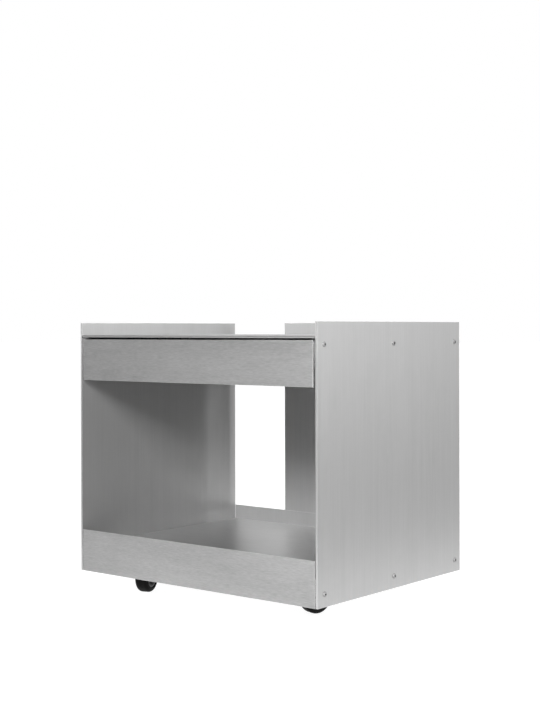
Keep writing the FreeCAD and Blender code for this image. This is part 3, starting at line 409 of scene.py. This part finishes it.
def handling_group():
    """Faint clouds that hands and wiping leave on a surface, between 0 and 1."""
    cloud_range = (0.42, 0.72)
    tree, given, result = new_group("Handling marks", {"Place": None, "Size": 0.1}, ("Mask",))
    scale = math_node(tree, "DIVIDE", 1.0, given["Size"])
    cloud = noise(tree, given["Place"], scale, detail=4.0, roughness=0.6)
    set_inputs(tree, result, {"Mask": remap(tree, cloud, *cloud_range, 0.0, 1.0)})
    return tree


def dust_group():
    """Dust that settles on what faces up and low down: 0 clean, 1 dusty."""
    dusty_tilt = 0.2
    dust_on_walls = 0.25
    speck_scale = 900.0
    speck_range = (0.45, 0.7)
    dust_between_specks = 0.2
    tree, given, result = new_group("Dust", {"Place": None, "Reach": 0.05}, ("Mask",))
    height = math_node(tree, "DIVIDE", split(tree, given["Place"])["Z"], given["Reach"])
    low_down = remap(tree, height, 0.0, 1.0, 1.0, 0.0)
    normal = add_node(tree, "ShaderNodeNewGeometry").outputs["Normal"]
    upward = remap(tree, split(tree, normal)["Z"], dusty_tilt, 1.0, dust_on_walls, 1.0)
    specks = noise(tree, given["Place"], speck_scale, detail=3.0)
    specks = remap(tree, specks, *speck_range, dust_between_specks, 1.0)
    mask = math_node(tree, "MULTIPLY", math_node(tree, "MULTIPLY", low_down, upward), specks)
    set_inputs(tree, result, {"Mask": mask})
    return tree


def skin_group():
    """Moulded skin: a fine pebble over slow swells, as a height and as a tone near 1."""
    swell_scale = 60.0
    swell_share = 0.6
    height_range = (0.5, 1.1)
    tone_range = (0.8, 1.2)
    tree, given, result = new_group("Moulded skin", {"Place": None, "Pebble": 0.0005}, ("Height", "Tone"))
    scale = math_node(tree, "DIVIDE", 1.0, given["Pebble"])
    pebble = noise(tree, given["Place"], scale)
    swell = noise(tree, given["Place"], swell_scale)
    height = scaled(tree, swell, swell_share, pebble)
    tone = remap(tree, height, *height_range, *tone_range)
    set_inputs(tree, result, {"Height": height, "Tone": tone})
    return tree


GROUP_MAKERS = {
    "Brush marks": brush_marks_group,
    "Edge line": edge_line_group,
    "Handling marks": handling_group,
    "Dust": dust_group,
    "Moulded skin": skin_group,
}


def place_group(tree, name, inputs):
    """Shared effect with its own values, its group built the first time: returns its outputs."""
    group = bpy.data.node_groups.get(name) or GROUP_MAKERS[name]()
    return add_node(tree, "ShaderNodeGroup", inputs, node_tree=group).outputs


# Materials

def new_material(name):
    """Material with a Principled shader: returns it, its tree, its shader and Object coordinates."""
    material = bpy.data.materials.new(name)
    material.use_nodes = True
    tree = material.node_tree
    shader = tree.nodes["Principled BSDF"]
    place = tree.nodes.new("ShaderNodeTexCoord").outputs["Object"]
    return material, tree, shader, place


def tint(tree, colour, *tones):
    """Colour made lighter or darker by tones near 1."""
    product = tones[0]
    for tone in tones[1:]:
        product = math_node(tree, "MULTIPLY", product, tone)
    return vector_node(tree, "MULTIPLY", colour, product)


def bump(tree, height, distance):
    """Normal of a relief of a given depth."""
    inputs = {"Height": height, "Distance": distance, "Strength": 1.0}
    return add_node(tree, "ShaderNodeBump", inputs).outputs["Normal"]


def turn_on_ends(tree, place, facing, along):
    """Place with the grain's axis and Y changed over on the faces that look along the grain."""
    end_facing = 0.7
    axes = list(split(tree, place))
    axes[along], axes[1] = axes[1], axes[along]
    swapped = add_node(tree, "ShaderNodeCombineXYZ", dict(enumerate(axes))).outputs[0]
    on_ends = math_node(tree, "GREATER_THAN", math_node(tree, "ABSOLUTE", facing[along]), end_facing)
    change = vector_node(tree, "SUBTRACT", swapped, place)
    return vector_node(tree, "MULTIPLY_ADD", change, on_ends, place)


def brushed_metal(node, grain, roughness, draw, mark_length, mark_width, contrast,
                  flat_metallic=None, edge_line=None):
    """Metal brushed along an axis: brush marks, a painted highlight on its cut edges and folds, and faint
    handling marks.

    A sheet with a flat_metallic of its own mirrors that much on its flat and the usual part on its folds.
    An edge_line of its own is the width of the line along its edges and the line's change of tone, a painted
    highlight or painted shade.
    """
    cut_to_flat = (0.3, 0.8)
    hand_size = 0.12
    hand_shade = 0.03
    hand_satin = 0.03
    mark_satin = 0.25
    edge_polish = 0.08
    look = bpy.context.scene.trolley_metal
    edge_width, edge_change = edge_line or (look.edge_width, look.painted_edge_highlight)
    material, tree, shader, place = new_material(f"brushed_{node}")
    low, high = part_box(node)
    along = "XYZ".index(grain)
    size = [1.0 / mark_width] * 3
    size[along] = 1.0 / mark_length
    facing = split(tree, add_node(tree, "ShaderNodeTexCoord").outputs["Normal"])
    turned_place = turn_on_ends(tree, place, facing, along)
    marks_place = add_node(tree, "ShaderNodeMapping", {"Vector": turned_place, "Scale": size}).outputs[0]
    marks = place_group(tree, "Brush marks", {"Place": marks_place, "Contrast": contrast})
    edge = place_group(tree, "Edge line", {
        "Place": place, "Low": low, "High": high, "Width": edge_width})["Mask"]
    hands = place_group(tree, "Handling marks", {"Place": place, "Size": hand_size})["Mask"]
    thin = int(np.argmin(high - low))
    cut = remap(tree, math_node(tree, "ABSOLUTE", facing[thin]), *cut_to_flat, 1.0, 0.0)
    if flat_metallic is None:
        # Painted highlight: the cut edges and folds join the edge line and are lightened with it.
        edge = math_node(tree, "MAXIMUM", edge, cut)
        mirrored = look.metallic
    else:
        mirrored = scaled(tree, cut, look.metallic - flat_metallic, flat_metallic)
    # Painted highlight along a sheet's edges, or painted shade where an edge_line of its own darkens them.
    edge_tone = scaled(tree, edge, edge_change, 1.0)
    hand_tone = scaled(tree, hands, -hand_shade, 1.0)
    satin = scaled(tree, marks["Tone"], mark_satin, roughness - mark_satin)
    satin = scaled(tree, hands, hand_satin, satin)
    set_inputs(tree, shader, {
        "Base Color": tint(tree, look.colour, marks["Tone"], edge_tone, hand_tone),
        "Roughness": scaled(tree, edge, -edge_polish, satin),
        "Metallic": mirrored,
        "Anisotropic": draw,
        "Normal": bump(tree, marks["Height"], look.streak_depth),
    })
    return material, shader


def draw_along_x(material, shader):
    """Turns the draw of a folded sheet's reflections so that its grain runs along X on every fold."""
    tree = material.node_tree
    grain = add_node(tree, "ShaderNodeTangent", direction_type="RADIAL", axis="X")
    set_inputs(tree, shader, {"Tangent": grain.outputs[0]})


def plated_steel(name, colour, roughness):
    """Zinc plate: faint spangle, rolled lines along Y and a few handling marks."""
    line_scale = (900.0, 14.0, 900.0)
    line_contrast = 0.16
    hand_size = 0.03
    hand_satin = 0.12
    spangle_scale = 260.0
    spangle_reach = 0.9
    spangle_tones = (0.93, 1.05)
    relief = 0.00001
    material, tree, shader, place = new_material(name)
    rolled_place = add_node(tree, "ShaderNodeMapping", {"Vector": place, "Scale": line_scale}).outputs[0]
    marks = place_group(tree, "Brush marks", {"Place": rolled_place, "Contrast": line_contrast})
    hands = place_group(tree, "Handling marks", {"Place": place, "Size": hand_size})["Mask"]
    cells = add_node(tree, "ShaderNodeTexVoronoi", {"Vector": place, "Scale": spangle_scale})
    spangle = remap(tree, cells.outputs["Distance"], 0.0, spangle_reach, *spangle_tones)
    set_inputs(tree, shader, {
        "Base Color": tint(tree, colour, marks["Tone"], spangle),
        "Roughness": scaled(tree, hands, hand_satin, roughness),
        "Metallic": 1.0,
        "Normal": bump(tree, marks["Height"], relief),
    })
    return material


def polished_steel(name, colour, roughness, socket_shade=0.0):
    """Bright steel with fine wear, and painted shade in the sockets that a surface marks."""
    wear_scale = 1400.0
    wear_range = (0.3, 0.7)
    wear_tones = (0.92, 1.06)
    hand_size = 0.01
    hand_satin = 0.1
    relief = 0.000006
    material, tree, shader, place = new_material(name)
    wear = noise(tree, place, wear_scale, detail=3.0)
    hands = place_group(tree, "Handling marks", {"Place": place, "Size": hand_size})["Mask"]
    tones = [remap(tree, wear, *wear_range, *wear_tones)]
    # Painted shade: the rows of the socket are darkened in colour.
    if socket_shade:
        socket = add_node(tree, "ShaderNodeAttribute", attribute_name=SOCKET_MARK).outputs["Fac"]
        tones.append(scaled(tree, socket, -socket_shade, 1.0))
    set_inputs(tree, shader, {
        "Base Color": tint(tree, colour, *tones),
        "Roughness": scaled(tree, hands, hand_satin, roughness),
        "Metallic": 1.0,
        "Normal": bump(tree, wear, relief),
    })
    return material


def moulded(name, colour, roughness, shine, pebble, relief, dust_reach):
    """Moulded rubber, plastic or paint: pebbled skin, with dust where it settles. Sizes in millimetres."""
    dust_tone = 0.9
    dust_satin = 0.25
    material, tree, shader, place = new_material(name)
    skin = place_group(tree, "Moulded skin", {"Place": place, "Pebble": pebble * MILLIMETRE})
    dust = place_group(tree, "Dust", {"Place": place, "Reach": dust_reach * MILLIMETRE})["Mask"]
    set_inputs(tree, shader, {
        "Base Color": tint(tree, colour, skin["Tone"], scaled(tree, dust, dust_tone, 1.0)),
        "Roughness": scaled(tree, dust, dust_satin, roughness),
        "Specular IOR Level": shine,
        "Normal": bump(tree, skin["Height"], relief * MILLIMETRE),
    })
    return material


def dress(nodes, material):
    """Gives nodes of the frame a material through their own slots."""
    for node in nodes:
        for slot in frame["nodes"][node].material_slots:
            slot.material = material


# Surfaces

def grid_piece(name, points, body, material, socket_rows=0):
    """Piece from grids of points, shaped (copies, rows, columns, 3), that close round their columns.

    A face joins each point to its neighbours in the next row and column. The first socket_rows rows of each
    copy carry the socket mark. Points that meet, at a pole or at a closed row, are merged, and the faces are
    then turned outwards.
    """
    merge_distance = 1e-7
    least_edge = 1e-8
    sharp_angle = math.radians(40)
    copies, rows, columns, _ = points.shape
    number = np.arange(copies * rows * columns).reshape(copies, rows, columns)
    onward = np.roll(number, -1, axis=2)
    corners = (number[:, :-1], onward[:, :-1], onward[:, 1:], number[:, 1:])
    faces = np.stack(corners, axis=-1).reshape(-1, 4)
    mesh = bpy.data.meshes.new(name)
    mesh.from_pydata(points.reshape(-1, 3).tolist(), [], faces.tolist())
    if socket_rows:
        mark = np.zeros((copies, rows, columns), np.float32)
        mark[:, :socket_rows] = 1.0
        mesh.attributes.new(SOCKET_MARK, "FLOAT", "POINT").data.foreach_set("value", mark.ravel())
    shape = bmesh.new()
    shape.from_mesh(mesh)
    bmesh.ops.remove_doubles(shape, verts=shape.verts, dist=merge_distance)
    bmesh.ops.dissolve_degenerate(shape, edges=shape.edges, dist=least_edge)
    bmesh.ops.recalc_face_normals(shape, faces=shape.faces)
    shape.to_mesh(mesh)
    shape.free()
    mesh.shade_smooth()
    mesh.set_sharp_from_angle(angle=sharp_angle)
    mesh.materials.append(material)
    piece = bpy.data.objects.new(name, mesh)
    bpy.context.scene.collection.objects.link(piece)
    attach(piece, body)
    return piece


def side_vectors(axis):
    """Two unit vectors square to an axis and to each other."""
    nearly_upright = 0.9
    helper = (0, 0, 1) if abs(axis[2]) < nearly_upright else (1, 0, 0)
    across = np.cross(helper, axis)
    across /= np.linalg.norm(across)
    return across, np.cross(axis, across)


def turned(along, radius, angle, centres, axis):
    """Turned surface: each point lies along the axis from a centre, then out by a radius at an angle.

    Along and radius are (rows, columns) or (rows, 1), angle is (columns,) and centres is (copies, 3).
    """
    axis = np.asarray(axis, float)
    across, upward = side_vectors(axis)
    ring = np.cos(angle)[:, None] * across + np.sin(angle)[:, None] * upward
    shape = along[..., None] * axis + radius[..., None] * ring
    return np.asarray(centres)[:, None, None, :] + shape[None]


def arc(centre, radius, start, end, count):
    """Points of a circular arc in the profile's plane, angles in degrees."""
    angle = np.radians(np.linspace(start, end, count))
    return np.stack([centre[0] + radius * np.cos(angle), centre[1] + radius * np.sin(angle)], axis=1)


def screw_surface(look, head_height, shank_length, centres, axis):
    """Button screw: a socket floor, its hexagon wall, a domed crown, the rim, the seat and a thread.

    Rows run from the middle of the socket over the crown to the tip. The socket's radius follows a hexagon:
    half the flats divided by the cosine of the angle from the nearest flat's middle. The crown is a quarter
    ellipse from the socket's edge to the rim. The thread's radius falls and rises once for each pitch, and
    its crest moves on by one pitch for each turn.
    """
    columns = 48
    crown_rows = 9
    rows_per_turn = 5
    angle = np.linspace(0, 2 * np.pi, columns, endpoint=False)
    flat = np.ones(columns)
    sixth = np.pi / 3
    hexagon = 0.5 * look.socket_flats / np.cos((angle + sixth / 2) % sixth - sixth / 2)
    mouth = 1.06 * hexagon
    floor_radius = 0.98 * hexagon
    floor = head_height - look.socket_depth
    floor_dimple = 0.15 * look.socket_depth
    rim = 0.2 * head_height
    mouth_drop = 0.06 * rim
    sweep = np.linspace(0, np.pi / 2, crown_rows)[:, None]
    crown_radius = mouth + (look.head_radius - mouth) * np.sin(sweep)
    crown_along = rim + (head_height - rim) * np.cos(sweep) + 0 * mouth
    turns = shank_length / look.thread_pitch
    half_depth = 0.15 * look.thread_pitch
    tip_radius = 0.75 * look.shank_radius
    down = np.linspace(0, 1, int(turns * rows_per_turn) + 1)[:, None]
    wave = np.cos(2 * np.pi * (down * turns - angle / (2 * np.pi)))
    ends = np.clip(np.minimum(down, 1 - down) * turns, 0, 1)
    thread_radius = look.shank_radius - half_depth * (1 - wave) * ends
    thread_along = -shank_length * down + 0 * angle
    radius = np.vstack([
        0 * flat, floor_radius, hexagon, crown_radius, look.head_radius * flat,
        thread_radius, tip_radius * flat, 0 * flat])
    along = np.vstack([
        (floor - floor_dimple) * flat, floor * flat, (head_height - mouth_drop) * flat,
        crown_along, 0 * flat, thread_along, -shank_length * flat, -shank_length * flat])
    return turned(along, radius, angle, centres, axis)


def tyre_surface(look, tread_radius, centre, axis):
    """Tyre: a closed section carried round the axle.

    The section runs up one side, over the two rounded shoulders with a shallow groove round the middle
    of the tread, down the other side and back under the bead.
    """
    columns = 96
    shoulder_rows = 14
    half = look.tyre_width / 2
    shoulder = look.tread_round
    lip = look.rim_radius + 1.0 * MILLIMETRE
    lip_inset = 0.2 * MILLIMETRE
    lip_height = 0.4 * MILLIMETRE
    groove = look.parting_groove
    groove_mouth = 1.5 * groove
    groove_floor = 0.6 * groove
    right = arc((half - shoulder, tread_radius - shoulder), shoulder, 0, 90, shoulder_rows)
    tread = np.array([[groove_mouth, tread_radius], [groove_floor, tread_radius - groove]])
    side = np.array([[half - lip_inset, lip], [half, lip + lip_height]])
    bead_line = np.array([[look.rim_width / 2, look.rim_radius]])
    half_section = np.concatenate([bead_line, side, right, tread])
    mirrored = half_section[::-1] * (-1, 1)
    section = np.concatenate([half_section, mirrored, half_section[:1]])
    angle = np.linspace(0, 2 * np.pi, columns, endpoint=False)
    return turned(section[:, :1], section[:, 1:], angle, [centre], axis)


def hub_surface(look, centre, axis):
    """Hub: boss, web and rim turned round the axle, with ribs that rise from the web.

    The section runs out along one face from the bore to the rim, over the rim and back along the other face.
    Between boss and rim the face stands at the web, or on a rib most of the way out to the rim's face. A
    rib's two sides are pairs of columns a hair apart.
    """
    rib_columns = 3
    web_columns = 9
    ease = 0.5 * MILLIMETRE
    boss, rim_outside = look.boss_radius, look.rim_radius
    rim_inside = rim_outside - look.rim_wall
    boss_half, web_half, rim_half = look.boss_width / 2, look.web_width / 2, look.rim_width / 2
    rib_half_height = 0.72 * rim_half
    sector = 2 * np.pi / look.hub_ribs
    rib_half = 0.07 * sector
    hair = 0.012 * sector
    steps = np.concatenate([
        np.linspace(-rib_half, rib_half, rib_columns),
        np.linspace(rib_half + hair, sector - rib_half - hair, web_columns)])
    on_rib = np.concatenate([np.ones(rib_columns), np.zeros(web_columns)])
    angle = (np.arange(look.hub_ribs)[:, None] * sector + steps).ravel()
    rib = np.tile(on_rib, look.hub_ribs)
    face = web_half + (rib_half_height - web_half) * rib
    flat = np.ones_like(angle)
    radius = np.array([look.bore_radius, boss - ease, boss, boss + ease, rim_inside - ease, rim_inside,
                       rim_inside + ease, rim_outside - ease, rim_outside])
    along = np.vstack([
        boss_half * flat, boss_half * flat, (boss_half - ease) * flat, face, face, face + ease * (1 - rib),
        rim_half * flat, rim_half * flat, (rim_half - ease) * flat])
    radius = np.concatenate([radius, radius[::-1], radius[:1]])[:, None]
    along = np.vstack([along, -along[::-1], along[:1]])
    return turned(along, radius, angle, [centre], axis)


# Operators

class TROLLEY_OT_brush_sheets(Operator):
    """Brush the panels and the spine upright, and the shelf, tray, aprons and drawer along their length"""
    bl_idname = "trolley.brush_sheets"
    bl_label = "Brush the sheets"

    def execute(self, context):
        look = context.scene.trolley_metal
        plain = (look.roughness, look.draw)
        shelf = (look.shelf_roughness, look.shelf_draw)
        tray = (look.tray_roughness, look.tray_draw)
        streaks = (look.streak_length, look.streak_width, look.streak_contrast)
        strokes = (look.stroke_length, look.stroke_width, look.stroke_contrast)
        faint_strokes = (look.stroke_length, look.stroke_width, look.shelf_contrast)
        for nodes, grain, marks, turn in (
                (UPRIGHT_SHEETS, "Z", streaks, 0.0),
                (FRONT_SHEETS, "X", strokes, QUARTER_TURN),
                (DRAWER_ENDS, "X", faint_strokes, QUARTER_TURN)):
            for node in nodes:
                material, shader = brushed_metal(node, grain, *plain, *marks)
                shader.inputs["Anisotropic Rotation"].default_value = turn
                dress([node], material)
        # Painted shade along the top shelf's edges, in place of the usual lighter edge line.
        painted_shade_line = (look.painted_shade_width, -look.painted_shade_amount)
        for node, finish, flat_metallic, edge_line in (
                ("top_shelf", shelf, look.shelf_metallic, painted_shade_line),
                ("drawer_box", shelf, look.shelf_metallic, None),
                ("tray_floor", tray, None, None)):
            material, shader = brushed_metal(node, "X", *finish, *faint_strokes, flat_metallic, edge_line)
            draw_along_x(material, shader)
            dress([node], material)
        return {"FINISHED"}


class TROLLEY_OT_plate_slides(Operator):
    """Plate the drawer slides, their cages and the hidden fasteners, and polish the balls"""
    bl_idname = "trolley.plate_slides"
    bl_label = "Plate the slides"

    def execute(self, context):
        look = context.scene.trolley_slides
        plate = plated_steel("zinc_plate", look.plate_colour, look.plate_roughness)
        dull_plate = plated_steel("dull_zinc_plate", look.dull_colour, look.dull_roughness)
        stop_rubber = moulded(
            "stop_rubber", look.stop_colour, roughness=0.7, shine=0.3,
            pebble=0.6, relief=0.04, dust_reach=20)
        dress(SLIDE_NODES, plate)
        dress(CAGE_NODES + PLATED_NODES + AXLE_NODES, dull_plate)
        dress(BALL_NODES, polished_steel("ball_polish", look.ball_colour, look.ball_roughness))
        dress(["slide_stops"], stop_rubber)
        return {"FINISHED"}


class TROLLEY_OT_turn_screws(Operator):
    """Turn the button screws of the side panels and of the spine"""
    bl_idname = "trolley.turn_screws"
    bl_label = "Turn the screws"

    def execute(self, context):
        look = context.scene.trolley_screws
        steel = polished_steel("screw_steel", look.colour, look.roughness, look.socket_shade)
        for node, panel, axis, counts in (
                ("left_side_screws", "left_side_panel", (-1, 0, 0), (1, 3, 2)),
                ("right_side_screws", "right_side_panel", (1, 0, 0), (1, 3, 2)),
                ("spine_screws", "back_spine", (0, 1, 0), (2, 1, 2))):
            self.turn(look, node, panel, np.array(axis, float), counts, steel)
        return {"FINISHED"}

    @staticmethod
    def turn(look, node, panel, axis, counts, steel):
        """One group of screws, on a grid that fills its box, seated on the outer face of a panel."""
        low, high = (np.array(corner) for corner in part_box(node))
        seat = max(np.array(corner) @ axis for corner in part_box(panel))
        head_height = max(low @ axis, high @ axis) - seat
        shank_length = seat - min(low @ axis, high @ axis)
        lines = []
        for number, count in enumerate(counts):
            if axis[number]:
                lines.append([seat * axis[number]])
            else:
                first = low[number] + look.head_radius
                last = high[number] - look.head_radius
                lines.append(np.linspace(first, last, count))
        centres = np.stack(np.meshgrid(*lines, indexing="ij"), axis=-1).reshape(-1, 3)
        points = screw_surface(look, head_height, shank_length, centres, axis)
        piece = grid_piece(f"{node}_turned", points, "frame", steel, socket_rows=3)
        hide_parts(node)


class TROLLEY_OT_mould_wheels(Operator):
    """Mould the tyres and ribbed hubs of the four casters"""
    bl_idname = "trolley.mould_wheels"
    bl_label = "Mould the wheels"

    def execute(self, context):
        look = context.scene.trolley_casters
        rubber = moulded(
            "tyre_rubber", look.tyre_colour, roughness=0.5, shine=0.07,
            pebble=0.7, relief=0.03, dust_reach=30)
        plastic = moulded(
            "hub_plastic", look.hub_colour, roughness=0.42, shine=0.3,
            pebble=0.5, relief=0.02, dust_reach=30)
        joints = {joint["name"]: joint for joint in frame["joints"]}
        for corner in CORNERS:
            spin = joints[f"{corner}_wheel_spin"]
            low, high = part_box(f"{corner}_tyre")
            tread_radius = (high.z - low.z) / 2
            points = tyre_surface(look, tread_radius, spin["pos_m"], spin["axis"])
            tyre = grid_piece(f"{corner}_tyre_moulded", points, f"{corner}_wheel", rubber)
            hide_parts(f"{corner}_tyre")
            points = hub_surface(look, spin["pos_m"], spin["axis"])
            hub = grid_piece(f"{corner}_hub_moulded", points, f"{corner}_wheel", plastic)
            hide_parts(f"{corner}_wheel_hub")
        return {"FINISHED"}


class TROLLEY_OT_paint_casters(Operator):
    """Paint the caster forks and plates black"""
    bl_idname = "trolley.paint_casters"
    bl_label = "Paint the casters"

    def execute(self, context):
        look = context.scene.trolley_casters
        paint = moulded(
            "caster_paint", look.paint_colour, roughness=0.38, shine=0.2,
            pebble=1.2, relief=0.02, dust_reach=80)
        dress(FORK_NODES, paint)
        return {"FINISHED"}


class TROLLEY_OT_set_stage(Operator):
    """Lay the floor, hang the light and set the camera"""
    bl_idname = "trolley.set_stage"
    bl_label = "Set the stage"

    def execute(self, context):
        look = context.scene.trolley_studio
        context.scene.view_settings.view_transform = "Standard"
        self.set_camera(context, look)
        self.lay_floor(context, look)
        self.light_world(context, look)
        board = (look.board_size, look.board_size)
        for name, place, power, size in (
                ("key_softbox", look.key_place, look.key_power, (look.key_width, look.key_height)),
                ("side_softbox", look.side_place, look.side_power, (look.side_size, look.side_size)),
                ("white_board", look.board_place, look.board_power, board),
                ("rear_softbox", look.rear_place, look.rear_power, board),
                ("fill_softbox", look.fill_place, look.fill_power, board)):
            self.hang_lamp(context, look, name, place, power, size)
        return {"FINISHED"}

    @staticmethod
    def set_camera(context, look):
        """Level camera with the horizon moved to its row by the lens shift."""
        data = bpy.data.cameras.new("photo_camera")
        data.lens = FOCAL_PIXELS * FILM_LONG_SIDE / IMAGE_HEIGHT
        data.sensor_width = FILM_LONG_SIDE
        data.shift_y = (HORIZON_ROW - IMAGE_HEIGHT / 2) / IMAGE_HEIGHT
        data.clip_end = CAMERA_REACH
        camera = bpy.data.objects.new("photo_camera", data)
        camera.location = look.camera_place
        camera.rotation_euler = (math.pi / 2, CAMERA_ROLL, look.camera_turn)
        context.scene.collection.objects.link(camera)
        context.scene.camera = camera

    @staticmethod
    def lay_floor(context, look):
        """Wide floor, white to the camera apart from the shadow, and a strip of white paper to reflections.

        The strip runs backward from just in front of the trolley, and its edges are soft.
        """
        side_fade = 0.2
        shadow_range = (0.8, 3.0)
        reach = FLOOR_REACH
        corners = [(-reach, -reach, 0), (reach, -reach, 0), (reach, reach, 0), (-reach, reach, 0)]
        mesh = bpy.data.meshes.new("studio_floor")
        mesh.from_pydata(corners, [], [(0, 1, 2, 3)])
        floor = bpy.data.objects.new("studio_floor", mesh)
        context.scene.collection.objects.link(floor)
        material = bpy.data.materials.new("floor_paper")
        material.use_nodes = True
        tree = material.node_tree
        tree.nodes.clear()
        place = add_node(tree, "ShaderNodeTexCoord").outputs["Object"]
        x, y, _ = split(tree, place)
        lengthwise = remap(tree, y, -look.paper_front, PAPER_FADE - look.paper_front, 0.0, 1.0)
        fade_start = (1 - side_fade) * look.paper_half
        fade_end = (1 + side_fade) * look.paper_half
        crosswise = remap(tree, math_node(tree, "ABSOLUTE", x), fade_start, fade_end, 1.0, look.room_level)
        strip = math_node(tree, "MULTIPLY", lengthwise, crosswise)
        distance = add_node(tree, "ShaderNodeVectorMath", {0: place}, operation="LENGTH").outputs["Value"]
        white = remap(tree, distance, *shadow_range, look.floor_glow, 1.0)
        path = add_node(tree, "ShaderNodeLightPath")
        glossy, through = path.outputs["Is Glossy Ray"], path.outputs["Is Transmission Ray"]
        mirrored = math_node(tree, "MAXIMUM", glossy, through)
        seen = scaled(tree, mirrored, strip, path.outputs["Is Camera Ray"])
        strength = math_node(tree, "MULTIPLY", seen, white)
        paper = add_node(tree, "ShaderNodeBsdfDiffuse", {"Color": (*look.floor_colour, 1.0)})
        glow = add_node(tree, "ShaderNodeEmission", {"Strength": strength})
        both = add_node(tree, "ShaderNodeAddShader", {0: paper.outputs[0], 1: glow.outputs[0]})
        add_node(tree, "ShaderNodeOutputMaterial", {"Surface": both.outputs[0]})
        mesh.materials.append(material)

    @staticmethod
    def light_world(context, look):
        """White to the camera. To the trolley it is a white backdrop behind, and a dim room around it."""
        world = bpy.data.worlds.new("studio")
        world.use_nodes = True
        tree = world.node_tree
        tree.nodes.clear()
        direction = add_node(tree, "ShaderNodeTexCoord").outputs["Generated"]
        level, turn = math.cos(BACKDROP_LIFT), look.camera_turn
        middle = (-level * math.sin(turn), level * math.cos(turn), math.sin(BACKDROP_LIFT))
        facing = add_node(tree, "ShaderNodeVectorMath", {0: direction, 1: middle}, operation="DOT_PRODUCT")
        outside, inside = math.cos(BACKDROP_OUTSIDE), math.cos(BACKDROP_INSIDE)
        backdrop = remap(tree, facing.outputs["Value"], outside, inside, look.room_level, 1.0)
        path = add_node(tree, "ShaderNodeLightPath")
        strength = math_node(tree, "MAXIMUM", path.outputs["Is Camera Ray"], backdrop)
        light = add_node(tree, "ShaderNodeBackground", {"Color": (1.0, 1.0, 1.0, 1.0), "Strength": strength})
        add_node(tree, "ShaderNodeOutputWorld", {"Surface": light.outputs[0]})
        context.scene.world = world

    @staticmethod
    def hang_lamp(context, look, name, place, power, size):
        """Soft lamp of a width and a height that faces the trolley and stays out of the picture."""
        data = bpy.data.lights.new(name, "AREA")
        data.shape = "RECTANGLE"
        data.size, data.size_y = size
        data.energy = power
        lamp = bpy.data.objects.new(name, data)
        lamp.location = place
        lamp.rotation_euler = (look.aim - place).to_track_quat("-Z", "Y").to_euler()
        lamp.visible_camera = False
        context.scene.collection.objects.link(lamp)


class TROLLEY_PT_looks(Panel):
    """Settings and steps of the trolley's looks"""
    bl_label = "Serving trolley"
    bl_space_type = "VIEW_3D"
    bl_region_type = "UI"
    bl_category = "Trolley"

    def draw(self, context):
        for title, settings, _, steps in PANEL_ROWS:
            box = self.layout.box()
            box.label(text=title)
            look = getattr(context.scene, settings)
            for name in look.__annotations__:
                box.prop(look, name)
            for step in steps:
                box.operator(step.bl_idname)


PANEL_ROWS = (
    ("Sheets", "trolley_metal", BrushedMetalLook, (TROLLEY_OT_brush_sheets,)),
    ("Slides", "trolley_slides", SlideLook, (TROLLEY_OT_plate_slides,)),
    ("Screws", "trolley_screws", ScrewLook, (TROLLEY_OT_turn_screws,)),
    ("Casters", "trolley_casters", CasterLook, (TROLLEY_OT_mould_wheels, TROLLEY_OT_paint_casters)),
    ("Studio", "trolley_studio", StudioLook, (TROLLEY_OT_set_stage,)),
)
CLASSES = [cls for _, _, look, steps in PANEL_ROWS for cls in (look, *steps)] + [TROLLEY_PT_looks]


def register():
    """Registers the classes and gives the scene its settings."""
    for cls in CLASSES:
        bpy.utils.register_class(cls)
    for _, settings, look, _ in PANEL_ROWS:
        setattr(bpy.types.Scene, settings, PointerProperty(type=look))


def unregister():
    """Takes the settings and the classes away again."""
    for _, settings, _, _ in PANEL_ROWS:
        delattr(bpy.types.Scene, settings)
    for cls in reversed(CLASSES):
        bpy.utils.unregister_class(cls)


def main():
    """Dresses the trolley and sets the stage."""
    register()
    bpy.ops.trolley.brush_sheets()
    bpy.ops.trolley.plate_slides()
    bpy.ops.trolley.turn_screws()
    bpy.ops.trolley.mould_wheels()
    bpy.ops.trolley.paint_casters()
    bpy.ops.trolley.set_stage()


if __name__ == "__main__":
    main()
